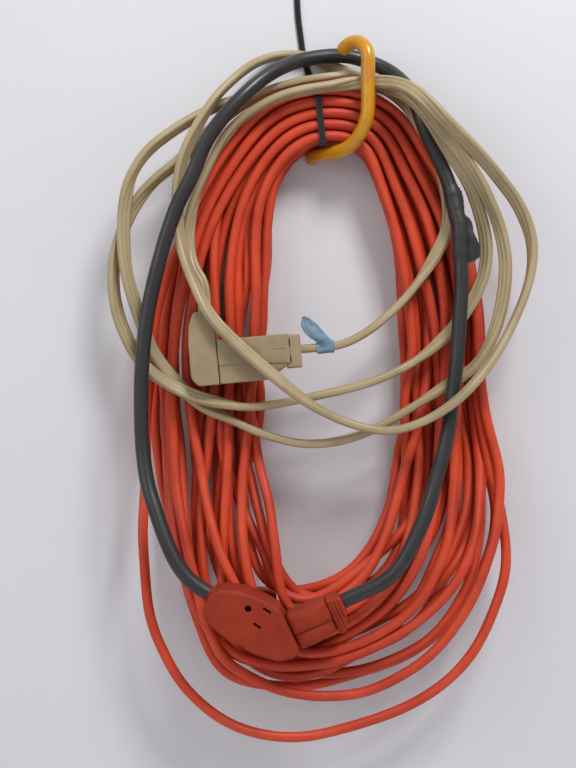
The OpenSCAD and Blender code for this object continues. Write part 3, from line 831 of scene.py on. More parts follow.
@dataclass(frozen=True)
class Outline:
    """A closed outline with rounded corners that keeps its point count as it is drawn in."""

    corners: Corners
    step: float = 0.8
    arc: int = 7

    def ordered(self) -> Corners:
        """Gives the corners in counter-clockwise order.

        Returns:
            The corners.
        """
        x, y, _ = np.array(self.corners, float).T
        area = np.sum(x * np.roll(y, -1) - y * np.roll(x, -1))
        return self.corners if area > 0 else self.corners[::-1]

    def ring(self, amount: float = 0.0) -> Array:
        """Gives the outline's points.

        Args:
            amount: How far it is drawn in, or out where it is negative.

        Returns:
            The points, always as many, in counter-clockwise order.
        """
        corners = self.ordered()
        spots = np.array([c[:2] for c in corners], float)
        way = np.roll(spots, -1, axis=0) - spots
        length = np.linalg.norm(way, axis=1)
        way = way / length[:, None]
        inward = np.stack([-way[:, 1], way[:, 0]], axis=1)
        last = np.roll(inward, 1, axis=0)
        share = 1 + np.sum(last * inward, axis=1, keepdims=True)
        drawn = spots + amount * (last + inward) / share
        arcs = []
        for i, here in enumerate(drawn):
            hollow = float(np.cross(way[i - 1], way[i])) < 0
            radius = max(LEAST_RADIUS, corners[i][2] + (amount if hollow else -amount))
            after = drawn[(i + 1) % len(corners)]
            back, on, _, reach = corner_reach(here, drawn[i - 1], after, radius)
            reach = max(reach, LEAST_REACH)
            arcs.append(bend(here + back * reach, here, here + on * reach, self.arc))
        loop = []
        for i, arc in enumerate(arcs):
            loop.append(arc)
            count = max(1, round(length[i] / self.step))
            between = np.linspace(0, 1, count + 1)[1:-1, None]
            loop.append(arc[-1] + between * (arcs[(i + 1) % len(arcs)][0] - arc[-1]))
        return np.vstack(loop)


@dataclass(frozen=True)
class Cushioned:
    """A moulded block: an outline with thickness along y, eased edges and crowned faces."""

    corners: Corners
    thick: float
    edge: float
    crown: float
    seam: float = SEAM
    middle: Optional[Flat] = None

    def shell(self, place: Matrix) -> Shell:
        """Makes the block's shell.

        Args:
            place: Where it goes, from x and z in the outline's plane and y through it.

        Returns:
            The shell.
        """
        outline = Outline(self.corners)
        half = self.thick / 2
        flat = half - self.edge - self.crown
        centre = np.array(self.middle if self.middle else outline.ring().mean(axis=0))
        sides = ((0.0, self.seam), (SEAM_HEIGHT, 0.0), (flat * 0.5, 0.0), (flat, 0.0))
        rims = [(outline.ring(-out), y) for y, out in sides]
        for turn in np.radians(np.arange(15, 91, 15)):
            rim = outline.ring(self.edge * (1 - math.cos(turn)))
            rims.append((rim, flat + self.edge * math.sin(turn)))
        for share in (0.9, 0.75, 0.55, 0.35, 0.15):
            rise = self.edge + self.crown * (1 - share**2)
            rims.append((centre + (rim - centre) * share, flat + rise))
        rings = [(r, -y) for r, y in reversed(rims[1:])] + rims
        solid = [np.stack([r[:, 0], np.full(len(r), y), r[:, 1]], axis=1) for r, y in rings]
        low, high = (centre[0], -half, centre[1]), (centre[0], half, centre[1])
        return fan_shell(solid, low, high).moved(place)


def box(wide: float, deep: float, low: float, high: float) -> Shell:
    """Makes a box's shell from half its width, half its depth and its low and high ends.

    Args:
        wide: Half its width, along X.
        deep: Half its depth, along Y.
        low: Its low end, along Z.
        high: Its high end.

    Returns:
        The shell.
    """
    flat = np.array([(-wide, -deep), (wide, -deep), (wide, deep), (-wide, deep)])
    rings = [np.column_stack([flat, np.full(4, z)]) for z in (low, high)]
    faces = ring_faces(2, 4) + [(3, 2, 1, 0), (4, 5, 6, 7)]
    return Shell(np.vstack(rings), faces)


def rod(radius: float, low: float, high: float, sides: int = 32) -> Shell:
    """Makes a round rod's shell along Z.

    Args:
        radius: Its radius.
        low: Its low end.
        high: Its high end.
        sides: How many sides it has.

    Returns:
        The shell.
    """
    line = np.array([(0, 0, low), (0, 0, high)], float)
    axes = (np.tile([1.0, 0.0, 0.0], (2, 1)), np.tile([0.0, 1.0, 0.0], (2, 1)))
    ring = circle(radius, sides)
    return sweep(line, axes, lambda i, s: ring)


def evaluated_mesh(piece: bpy.types.Object) -> bpy.types.Mesh:
    """Gives a piece's mesh with its modifiers applied, and takes them off it.

    Args:
        piece: The piece.

    Returns:
        The plain mesh.
    """
    bpy.context.view_layer.update()
    graph = bpy.context.evaluated_depsgraph_get()
    mesh = bpy.data.meshes.new_from_object(piece.evaluated_get(graph))
    piece.modifiers.clear()
    return mesh


class Joining(str, Enum):
    """What a closed shape does to a piece."""

    ADD = "UNION"
    CUT = "DIFFERENCE"


def combine(piece: bpy.types.Object, others: Sequence[Shell], joining: Joining) -> None:
    """Adds closed shapes to a piece or cuts them out of it.

    Args:
        piece: The piece.
        others: The shapes.
        joining: What they do to it.
    """
    made = [other.build("joined", piece.data.materials[0]) for other in others]
    for other in made:
        step = piece.modifiers.new("step", "BOOLEAN")
        step.operation, step.solver, step.object = joining.value, "EXACT", other
    piece.data = evaluated_mesh(piece)
    for other in made:
        bpy.data.objects.remove(other)


# ---------------------------------------------------------------- the maker's bench


@dataclass
class Bench:
    """What every sub-assembly needs: the finishes by slot."""

    finishes: dict[Slot, bpy.types.Material]

    def make(
        self, name: str, shell: Shell, body: Optional[Body], slot: Slot,
        stands_for: Sequence[str] = (), sharp: float = BLOCK_SHARP,
        added: Sequence[Shell] = (), cutters: Sequence[Shell] = (),
    ) -> bpy.types.Object:
        """Makes a piece of a shell and finishes it.

        Args:
            name: The piece's name.
            shell: Its shell.
            body: The body that it moves with, or None where it bends between two.
            slot: Its material slot.
            stands_for: CAD nodes that it takes the place of.
            sharp: Edges that turn more than this many degrees stay sharp.
            added: Closed shapes that are added to it.
            cutters: Closed shapes that are cut out of it.

        Returns:
            The piece.
        """
        piece = shell.build(name, self.finishes[slot], sharp)
        for others, joining in ((added, Joining.ADD), (cutters, Joining.CUT)):
            if others:
                combine(piece, others, joining)
                shade(piece.data, sharp)
        return self.finish(piece, body, slot, stands_for)

    def finish(
        self, piece: bpy.types.Object, body: Optional[Body], slot: Slot,
        stands_for: Sequence[str] = (),
    ) -> bpy.types.Object:
        """Rides a piece on its body, hides the CAD nodes it stands for and logs its face count.

        Args:
            piece: The piece.
            body: The body that it moves with, or None where it bends between two.
            slot: Its material slot; not used.
            stands_for: CAD nodes that it takes the place of.

        Returns:
            The piece.
        """
        if body is not None:
            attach(piece, body.value)
        if stands_for:
            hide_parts(*stands_for)
        LOG.info("%s: %d faces", piece.name, len(piece.data.polygons))
        return piece

    def dress_node(self, node: str, slot: Slot) -> None:
        """Gives a CAD node that stays its finish.

        Args:
            node: The node's name.
            slot: Its material slot.
        """
        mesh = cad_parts[node].data
        mesh.materials.clear()
        mesh.materials.append(self.finishes[slot])


# ---------------------------------------------------------------- cords


@dataclass(frozen=True)
class RoundSection:
    """A round jacket whose twisted conductors show faintly through it."""

    diameter: float
    sides: int
    lobe: float
    lay: float
    lumps: tuple[Flat, ...] = ((0.006, 37.0), (0.004, 11.3))

    def __call__(self, ring: int, along: float) -> Array:
        """Gives one ring's points.

        Args:
            ring: The ring's number.
            along: Its distance along the cord, in millimetres.

        Returns:
            The ring's points.
        """
        turn = angles(self.sides)
        swell = 1 + self.lobe * np.cos(3 * turn - 2 * math.pi * along / self.lay)
        swell += sum(high * math.sin(along / long) for high, long in self.lumps)
        return polar(self.diameter / 2 * swell, turn)


@dataclass(frozen=True)
class FlatSection:
    """A flat jacket over three side-by-side conductors, with two shallow grooves a side."""

    width: float
    thick: float
    sides: int = 48
    square: float = 2.9
    groove: float = 0.95
    groove_place: float = 0.165
    groove_width: float = 0.7
    rolls: Optional[Array] = None

    def most_roll(self, room: Array) -> Array:
        """Gives how far the cord can roll onto its edge, in radians.

        Args:
            room: How much room there is from its middle to its neighbour at each ring.

        Returns:
            The greatest roll at each ring, 0 where it must lie flat.
        """
        low, high = (self.thick / 2) ** 2, (self.width / 2) ** 2
        share = np.clip((np.maximum(room, 0) ** 2 - low) / (high - low), 0, 1)
        return np.arcsin(np.sqrt(share))

    def __call__(self, ring: int, along: float) -> Array:
        """Gives one ring's points.

        Args:
            ring: The ring's number.
            along: Its distance along the cord, in millimetres.

        Returns:
            The ring's points.
        """
        wide, deep = self.width / 2, self.thick / 2
        across, out = squared(angles(self.sides), wide, deep, self.square)
        beside = (np.abs(across) - self.width * self.groove_place) / self.groove_width
        out = out * (1 - np.exp(-(beside**2)) * self.groove / deep)
        cos, sin = math.cos(self.rolls[ring]), math.sin(self.rolls[ring])
        return np.stack([across * cos - out * sin, across * sin + out * cos], axis=1)


@dataclass
class HankSpiral:
    """The hank's loops: piled in layers that spiral out and in again between two outlines."""

    cord_d: float = 7.6
    columns: int = 5
    layers: int = 4
    layer_pitch: float = 8.5
    pocket_depth: float = 24.0
    pocket_top: float = -210.0
    pocket_run: float = 130.0
    tight_pitch: float = 8.2
    loose_loop: float = 27.0
    loose_turn: float = 15.04
    loose_span: float = 0.27
    phase: float = 2.83
    stagger: float = 0.1
    start: float = 0.25
    wander: float = 0.24
    depth_wander: float = 8.0
    foot_wander: float = 0.15
    foot_away: float = 3.4
    foot_rate: float = 1.6
    sway: float = 0.38
    kink: float = 1.1
    tied_station: float = 9.5
    tied_reach: float = 1.6
    free_reach: float = 4.2
    inner: tuple[Flat, ...] = (
        (-6, -334), (-22, -324), (-29, -295), (-35, -245), (-38, -183), (-36, -113),
        (-34, -55), (-25, -19), (-7, 2), (16, 8), (38, 1), (49, -28),
        (61, -67), (69, -121), (71, -183), (66, -237), (51, -280), (29, -311),
    )
    outer: tuple[Flat, ...] = (
        (2, -416), (-60, -404), (-99, -362), (-119, -299), (-124, -222), (-121, -136),
        (-104, -63), (-76, -8), (-36, 38), (15, 51), (63, 37), (91, 1),
        (117, -47), (133, -113), (136, -191), (143, -264), (134, -328), (89, -387),
    )

    @staticmethod
    def ease(share: float) -> float:
        """Eases a share between 0 and 1."""
        kept = min(1.0, max(0.0, share))
        return kept * kept * (3 - 2 * kept)

    @staticmethod
    def around(spots: Sequence[Flat], place: float) -> Array:
        """Gives the point at a place between an outline's stations.

        Args:
            spots: The outline's stations.
            place: A station's number and a share of the way on.

        Returns:
            The point.
        """
        i = math.floor(place)
        near = (np.array(spots[(i + k) % len(spots)], float) for k in (-1, 0, 1, 2))
        return catmull_point(*near, place - i)

    def column(self, turn: float) -> float:
        """Gives how far across its layer a turn lies."""
        cycle = 2 * self.columns
        return self.columns - abs(self.columns - (turn - cycle * math.floor(turn / cycle)))

    def layer(self, turn: float) -> float:
        """Gives the layer that a turn lies in.

        Args:
            turn: Turns from the spiral's own start.

        Returns:
            The layer, between two where it steps up.
        """
        return sum(
            self.ease((turn - (k * self.columns - 0.25)) / 0.5) for k in range(1, self.layers)
        )

    def point(self, turn: float) -> Array:
        """Gives the cord's centre at a turn.

        Args:
            turn: Turns from the spiral's own start.

        Returns:
            The point, in millimetres.
        """
        place = (turn - math.floor(turn)) * len(self.inner)
        near = self.around(self.inner, place)
        span = self.around(self.outer, place) - near
        wide = float(np.linalg.norm(span))
        slack = max(0.0, wide / self.columns - self.tight_pitch)
        sway = 0.6 * math.sin(math.radians(493 * turn + 40))
        sway += 0.4 * math.sin(math.radians(947 * turn))
        loose = self.loose_loop * self.ease(1 - abs(turn - self.loose_turn) / self.loose_span)
        free = self.freedom(turn)
        share = self.column(turn) / self.columns
        calm = free * (1 - self.ease(loose / 8))
        share += calm * self.wander * self.ripple(turn, self.phase)
        share += (
            calm * self.foot_wander * self.freedom(turn, self.foot_away)
            * self.ripple(self.foot_rate * turn, 3.4)
        )
        share += calm * self.stagger * (self.layer(turn) % 2 - 0.5)
        share = self.kept_in(share)
        kinks = free * self.kink * self.ripple(turn * 8.3, 1.7)
        at = near + span * share
        at = at + span / wide * (self.sway * slack * sway * (1 - free) + loose + kinks)
        back, front = self.band(at[1])
        depth = self.layer_pitch * self.layer(turn) + free * (
            self.depth_wander * self.ripple(turn, self.phase + 4.1)
            + self.kink * self.ripple(turn * 7.1, 0.6)
        )
        return np.array([at[0], max(front, min(back, back - depth)), at[1]])

    def freedom(self, turn: float, later: float = 0.0) -> float:
        """Gives how free the cord is at a turn: 0 under the tie and on the hook, 1 far below.

        Args:
            turn: Turns from the spiral's own start.
            later: How many stations further from the tie it comes free.

        Returns:
            How free it is, 0 to 1.
        """
        count = len(self.inner)
        place = (turn - math.floor(turn)) * count
        away = abs((place - self.tied_station + count / 2) % count - count / 2)
        return self.ease((away - self.tied_reach - later) / self.free_reach)

    @staticmethod
    def ripple(turn: float, phase: float) -> float:
        """Gives a slow, uneven wave between about -1 and 1 that differs from loop to loop.

        Args:
            turn: How far along the wave.
            phase: Where it starts.

        Returns:
            The wave's height.
        """
        return (
            0.45 * math.sin(2 * math.pi * 1.37 * turn + phase)
            + 0.4 * math.sin(2 * math.pi * 2.83 * turn + 2.3 * phase + 1.1)
            + 0.3 * math.sin(2 * math.pi * 0.618 * turn + 3.1 * phase)
        )

    @staticmethod
    def kept_in(share: float) -> float:
        """Folds a share of the way across back into 0 to 1.

        Args:
            share: The share.

        Returns:
            The share, folded back where it was beyond either side.
        """
        if share < 0:
            return -0.6 * share
        return 1 - 0.6 * (share - 1) if share > 1 else share

    def band(self, height: float) -> tuple[float, float]:
        """Gives how near to and how far from the wall the cord's centre may lie at a height.

        Args:
            height: The height.

        Returns:
            The places nearest to and furthest from the wall.
        """
        pocket = self.pocket_depth * self.ease((self.pocket_top - height) / self.pocket_run)
        back = -2.5 - self.cord_d / 2 - pocket
        return back, back - self.layer_pitch * (self.layers - 1)

    def line(self, per_loop: int) -> Array:
        """Gives the whole spiral.

        Args:
            per_loop: Points in one loop.

        Returns:
            The spiral's points.
        """
        loops = self.columns * self.layers - 0.5
        steps = round(loops * per_loop)
        return np.array([self.point(self.start + i / per_loop) for i in range(steps + 1)])


@dataclass(frozen=True)
class Settling:
    """Eases a long cord's loops apart until they lie on each other and not through each other."""

    rounds: int
    gap: float = 7.8
    skip: int = 5
    depth_share: float = 1.8
    smooth: float = 0.3

    def pairs(self, line: Array) -> Array:
        """Gives the pairs of points, not near neighbours along the cord, that lie too close.

        Args:
            line: The cord's centreline.

        Returns:
            Two points' numbers for each pair.
        """
        tree = KDTree(len(line))
        for i, spot in enumerate(line):
            tree.insert(spot, i)
        tree.balance()
        found = [
            (i, j)
            for i, spot in enumerate(line)
            for _, j, _ in tree.find_range(spot, self.gap)
            if j > i + self.skip
        ]
        return np.array(found, int).reshape(-1, 2)

    def settle(self, line: Array, held: Array, keep_in: Callable[[Array], Array]) -> Array:
        """Moves the points.

        Args:
            line: The cord's centreline, at even steps.
            held: How firmly each point is held, from 0 to 1.
            keep_in: Brings points back into the room that they may fill.

        Returns:
            The settled line.
        """
        shift = np.zeros_like(line)
        loose = (1 - held)[:, None]
        for _ in range(self.rounds):
            now = line + shift
            pairs = self.pairs(now)
            if not len(pairs):
                break
            a, b = pairs[:, 0], pairs[:, 1]
            apart = now[a] - now[b]
            dist = np.linalg.norm(apart, axis=1, keepdims=True)
            way = apart * np.array([1, self.depth_share, 1])
            way /= np.maximum(np.linalg.norm(way, axis=1, keepdims=True), 1e-6)
            push = way * (self.gap - dist) * 0.5
            move = np.zeros_like(line)
            hits = np.zeros((len(line), 1))
            for index, sign in ((a, 1), (b, -1)):
                np.add.at(move, index, sign * push)
                np.add.at(hits, index, 1)
            shift += loose * move / np.maximum(hits, 1)
            mean = 0.5 * (shift[:-2] + shift[2:])
            shift[1:-1] += self.smooth * loose[1:-1] * (mean - shift[1:-1])
            shift = keep_in(line + shift) - line
        LOG.info("settled with %d close pairs left", len(self.pairs(line + shift)))
        return line + shift


@dataclass
class HankCord:
    """The long round cord: its tied hank and the two ends hidden behind the foot."""

    spiral: HankSpiral = field(default_factory=HankSpiral)
    lead_in: tuple[Point, ...] = (
        (-66, -12, -347), (-76, -12, -346), (-87, -12, -341), (-95, -12, -332),
        (-98, -11.5, -320), (-96, -11, -307), (-89, -9, -294), (-79, -7.5, -281),
        (-67, -6, -267), (-56, -6, -251), (-47, -6, -232), (-42, -6, -208), (-40, -6, -182),
    )
    lead_out: tuple[Point, ...] = (
        (70, -29, -184), (71, -27, -207), (72, -24, -229), (72, -21, -250), (72, -18, -270),
        (70, -15, -290), (66, -13, -308), (60, -12, -324), (51, -12, -337), (40, -12, -345),
        (28, -12, -347),
    )
    per_loop: int = 144
    step: float = 5.0
    sides: int = 16
    least_bend: float = 3.0
    held_about: Point = (14, 60, 90)
    firm: float = 0.35
    eases: float = 0.6
    rounds: tuple[tuple[int, int], ...] = ((170, 3), (70, 1), (50, 1))

    def build(self, bench: Bench) -> tuple[bpy.types.Object, Array]:
        """Makes the cord in one length.

        Args:
            bench: The finishes.

        Returns:
            The cord and its centreline in metres.
        """
        loops = self.spiral.line(self.per_loop)
        step_in = unit_way(loops[1] - loops[0]) * self.spiral.cord_d
        step_out = unit_way(loops[-1] - loops[-2]) * self.spiral.cord_d
        first = np.vstack([np.array(self.lead_in, float), loops[0] - step_in, loops[0]])
        last = np.vstack([loops[-1], loops[-1] + step_out, np.array(self.lead_out, float)])
        line = np.vstack([catmull(first, 8)[:-1], loops, catmull(last, 8)[1:]])
        line = self.settled(soften(even_steps(line, self.step), 2), len(first), len(last))
        section = RoundSection(self.spiral.cord_d, self.sides, lobe=0.035, lay=70.0)
        piece = bench.make(
            "hank_cord_full", sweep(line, carried_frames(line), section), Body.HUNG,
            Slot.ORANGE_JACKET, ("hank_cord", "hank_lead_in", "hank_lead_out"), CORD_SHARP,
        )
        return piece, line * MM

    def settled(self, line: Array, first: int, last: int) -> Array:
        """Lets the loops settle between the wall and the cords in front.

        Args:
            line: The centreline.
            first: How many points of its own the lead before the loops has.
            last: How many the lead after them has.

        Returns:
            The settled centreline.
        """
        spiral = self.spiral
        middle, wide, deep = self.held_about
        away = np.abs(line[:, 0] - middle) / wide + np.maximum(0, -line[:, 2]) / deep
        held = 1 - np.clip((away - self.firm) / self.eases, 0, 1)
        held[: 3 * first] = 1
        held[-3 * last :] = 1

        def keep_in(spots: Array) -> Array:
            """Brings points back between the wall and the cords in front.

            Args:
                spots: The points.

            Returns:
                The points, moved along Y alone.
            """
            limits = np.array([spiral.band(z) for z in spots[:, 2]])
            kept = spots.copy()
            inside = np.clip(spots[:, 1], limits[:, 1], limits[:, 0])
            kept[:, 1] = np.where(held < 1, inside, spots[:, 1])
            return kept

        least = self.least_bend * spiral.cord_d
        for rounds, passes in self.rounds:
            line = Settling(rounds).settle(line, held, keep_in)
            line = eased_bends(soften(line, passes), least)
        return line


FLAT_LEAD_ROUTE: tuple[Point, ...] = (
    (-9, -50, -152), (3, -50, -151), (15, -50, -150), (28, -49, -146), (46, -47, -135),
    (69, -43, -114), (85, -41, -93), (94, -40, -78), (101, -39, -63), (103, -39, -48),
    (101, -39, -33), (97, -39, -14), (90, -40, 2), (81, -40, 18), (74, -32, 32), (66, -20, 44),
    (54, -10, 55), (43, -10, 56),
)
FLAT_CORD_ROUTE: tuple[Point, ...] = (
    (43, -10, 56), (32, -10, 57), (10, -10, 57), (-17, -12, 53), (-45, -18, 44), (-68, -24, 38),
    (-90, -30, 26), (-112, -37, 10), (-127, -43, -5), (-138, -46, -25), (-142, -47, -51),
    (-142, -47, -78), (-138, -47, -104), (-123, -43, -149), (-113, -42, -165), (-100, -42, -180),
    (-84, -42, -194), (-64, -42, -204), (-40, -42, -215), (-10, -42, -223), (20, -43, -221),
    (50, -45, -210), (80, -47, -192), (103, -47, -177), (121, -47, -165), (134, -47, -144),
    (142, -47, -115), (144, -48, -87), (139, -50, -61), (128, -54, -36), (117, -58, -19),
    (105, -63, -4), (93, -67, 9), (82, -68, 23), (71, -62, 35), (59, -45, 47), (42, -26, 56),
    (25, -25, 57.5), (7, -26, 57), (-21, -26, 51.5), (-48, -28, 40), (-75, -31, 19),
    (-101, -36, -8),
    (-120, -39, -24), (-135, -40, -43), (-145, -40, -65), (-151, -40, -92), (-148, -40, -124),
    (-135, -42, -154), (-121, -46, -170), (-106, -49, -179), (-89, -49, -187), (-66, -49, -193),
    (-40, -49, -195), (20, -49, -183), (50, -48, -174), (77, -42, -161), (100, -40, -142),
    (117, -40, -121), (128, -40, -99), (131, -41, -81), (129, -42, -62), (122, -46, -40),
    (114, -51, -24), (103, -56, -9), (93, -60, 6), (84, -61, 20), (73, -55, 34), (60, -37, 46),
    (42, -18, 56), (30, -15, 62), (18, -6, 70), (-6, -5, 80), (-27, -6, 80), (-45, -16, 71),
    (-60, -29, 56), (-74, -38, 39), (-85, -43, 20), (-94, -45, 2), (-100, -46, -17),
    (-102, -47, -40), (-101, -48, -64), (-96, -54, -86), (-86, -63, -109), (-75, -68, -129),
    (-58, -69, -147), (-40, -69, -163), (-21, -67, -179), (-1, -62, -194), (23, -57, -206),
    (53, -57, -213), (78, -63, -207), (101, -68, -193), (118, -66, -177), (137, -58, -153),
    (153, -51, -124), (163, -47, -96), (164, -46, -70), (155, -47, -46), (143, -51, -30),
    (127, -60, -14), (111, -69, 0), (97, -74, 12), (84, -75, 25), (72, -69, 37), (59, -55, 46),
    (41, -41, 50), (24, -41, 48.5), (8, -43, 45.5), (-7, -44.5, 42.8), (-29, -45, 36.5),
    (-52, -43, 23.5),
    (-67, -41, 9), (-79, -41, -14), (-89, -41, -37), (-94, -41, -60), (-94, -42, -77),
    (-90, -46, -92), (-83, -50, -102), (-82, -50, -113), (-81, -50, -124),
)
TAP_CORD_ROUTE: tuple[Point, ...] = (
    (-77, -78, -329), (-88, -78, -322), (-99, -77, -309), (-108, -74, -291), (-116, -69, -270),
    (-123, -63, -249), (-127, -58, -220), (-128, -57, -190), (-127, -57, -160), (-124, -57, -131),
    (-118, -57, -101), (-110, -57, -71), (-101, -57, -45), (-90, -56, -23), (-80, -55, 2),
    (-66, -54, 22), (-49, -50, 41), (-31, -39, 58), (-11, -23, 71), (10, -15, 77), (29, -15, 77),
    (48, -15, 71), (60, -19, 64), (69, -29, 53), (76, -42, 38), (80, -50, 22), (86, -49, 6),
    (93, -49, -8), (99, -49, -22), (103, -50, -33), (106, -51, -48),
)
PLUG_CORD_ROUTE: tuple[Point, ...] = (
    (106, -51, -48), (109, -52, -63), (110, -52, -87), (110, -53, -110), (108, -55, -138),
    (106, -57, -162), (103, -57, -188), (99, -58, -217), (91, -63, -245), (83, -69, -270),
    (71, -75, -295), (60, -78, -313), (47, -78, -323), (34, -78, -329), (21, -78, -335),
)


@dataclass
class FreeCord:
    """One stretch of cord that follows its own route."""

    name: str
    route: tuple[Point, ...]
    section: Section
    slot: Slot
    node: str
    flat_ends: tuple[float, float] = (30.0, 30.0)
    loll: float = 0.65
    step: float = 3.0
    twist_length: float = 22.0
    turn_up: float = 1.6
    rests: Flat = (97.0, 41.0)
    aside: float = 40.0

    def line(self) -> Array:
        """Gives the centreline, in millimetres."""
        return soften(even_steps(catmull(np.array(self.route, float), 10), self.step), 6)

    def room(self, line: Array, others: Sequence[tuple[Array, float]]) -> Array:
        """Gives the room from the cord's middle to what lies nearest, at each point.

        Args:
            line: The centreline.
            others: The other cords' centrelines and how thick each is from its middle.

        Returns:
            The room, in millimetres.
        """
        free = np.full(len(line), PLENTY)
        for other, reach in others:
            dist = np.linalg.norm(line[:, None, :] - other[None, :, :], axis=2).min(axis=1)
            free = np.minimum(free, dist - reach)
        own = np.linalg.norm(line[:, None, :] - line[None, :, :], axis=2)
        order = np.arange(len(line))
        own[np.abs(order[:, None] - order[None, :]) * self.step < self.aside] = PLENTY
        return np.minimum(free, own.min(axis=1) / 2)

    def rolled(self, line: Array, others: Sequence[tuple[Array, float]]) -> FlatSection:
        """Gives a flat section that stands on its edge wherever its neighbours leave room.

        Args:
            line: The centreline.
            others: The other cords' centrelines and how thick each is from its middle.

        Returns:
            The section with its roll at each ring.
        """
        most = self.section.most_roll(self.room(line, others))
        run = np.arange(len(line)) * self.step
        for away, flat in ((run, self.flat_ends[0]), (run[::-1], self.flat_ends[1])):
            most = np.minimum(most, np.radians(np.clip((away - flat) * self.turn_up, 0, 90)))
        slow, quick = self.rests
        rest = 0.5 + 0.5 * np.sin(run / slow + 1.0) * np.sin(run / quick)
        most = np.minimum(most, math.radians(90) * np.clip(1 - self.loll * (1 - 1.7 * rest), 0, 1))
        reach = round(self.twist_length / self.step / 2)
        for pick in (np.min, np.mean):
            padded = np.pad(most, reach, mode="edge")
            most = pick([padded[k : k + len(most)] for k in range(2 * reach + 1)], axis=0)
        return replace(self.section, rolls=most)

    def build(
        self, bench: Bench, body: Optional[Body], others: Sequence[tuple[Array, float]] = ()
    ) -> tuple[bpy.types.Object, Array]:
        """Makes the stretch.

        Args:
            bench: The finishes.
            body: The body that it rides on, or None where it bends between two.
            others: The cords that a flat cord must not roll into.

        Returns:
            The cord and its centreline in metres.
        """
        line = self.line()
        if isinstance(self.section, FlatSection):
            shell = sweep(line, wall_frames(line), self.rolled(line, others))
        else:
            shell = sweep(line, carried_frames(line), self.section)
        piece = bench.make(self.name, shell, body, self.slot, (self.node,), CORD_SHARP)
        return piece, line * MM


# ---------------------------------------------------------------- wall hook


@dataclass
class WallHook:
    """The coated hook: a rod that turns sideways, runs under the bundle and up to its lip."""

    coat_d: float = 10.7
    stub: float = 3.0
    yaw: float = 45.0
    yaw_r: float = 14.0
    foot: float = 21.5
    foot_r: float = 30.5
    bar: float = 34.5
    lip_r: float = 15.5
    lip_sweep: float = 140.0
    start: float = 1.0

    def centreline(self) -> Array:
        """Gives the rod's centreline from the wall to its tip.

        Returns:
            The centreline, in millimetres.
        """
        turn = math.radians(self.yaw)
        off, right, up = np.array([(0.0, -1.0, 0.0), (1.0, 0.0, 0.0), (0.0, 0.0, 1.0)])
        along = np.array([math.sin(turn), -math.cos(turn), 0.0])
        line = [off * s for s in np.linspace(self.start, self.stub, 3)]

        def straight(way: Array, length: float, steps: int) -> None:
            """Leads the line straight on.

            Args:
                way: Which way.
                length: How far.
                steps: Points, with the first.
            """
            start = line[-1]
            line.extend([start + way * s for s in np.linspace(0, length, steps)[1:]])

        def curve(way: Array, to: Array, radius: float, sweep_by: float, steps: int) -> None:
            """Leads the line on round a bend, from one way towards another.

            Args:
                way: The way it comes.
                to: The side it bends to.
                radius: The bend's radius.
                sweep_by: How many degrees it bends.
                steps: Points, with the first.
            """
            start = line[-1]
            for a in np.radians(np.linspace(0, sweep_by, steps)[1:]):
                line.append(start + radius * (way * math.sin(a) + to * (1 - math.cos(a))))

        curve(off, right, self.yaw_r, self.yaw, 13)
        straight(along, self.foot, 9)
        curve(along, up, self.foot_r, 90, 25)
        straight(up, self.bar, 12)
        curve(up, -along, self.lip_r, self.lip_sweep, 36)
        return np.array(line)

    def build(self, bench: Bench) -> bpy.types.Object:
        """Makes the coating as one smooth dipped skin with a rounded tip.

        Args:
            bench: The finishes.

        Returns:
            The coating.
        """
        line = even_steps(self.centreline(), 1.2)
        ring = circle(self.coat_d / 2, 36)
        nose = 4

        def section(i: int, along: float) -> Array:
            """Gives one ring, drawn in at the tip and uneven where the dip ran.

            Args:
                i: The ring's number.
                along: Its distance along the rod.

            Returns:
                The ring's points.
            """
            sag = 1 - 0.012 * (0.5 + 0.5 * math.sin(along / 9.0 + 1.3 * math.sin(along / 23.0)))
            left = len(line) - 1 - i
            ease = math.sin(math.radians(40 + 50 * left / nose)) if left < nose else 1.0
            return ring * sag * ease

        bench.dress_node("hook_rod", Slot.STEEL)
        shell = sweep(line, carried_frames(line), section)
        return bench.make("hook_skin", shell, Body.HUNG, Slot.VINYL, ("hook_coating",), 60)


# ---------------------------------------------------------------- repeats by geometry nodes


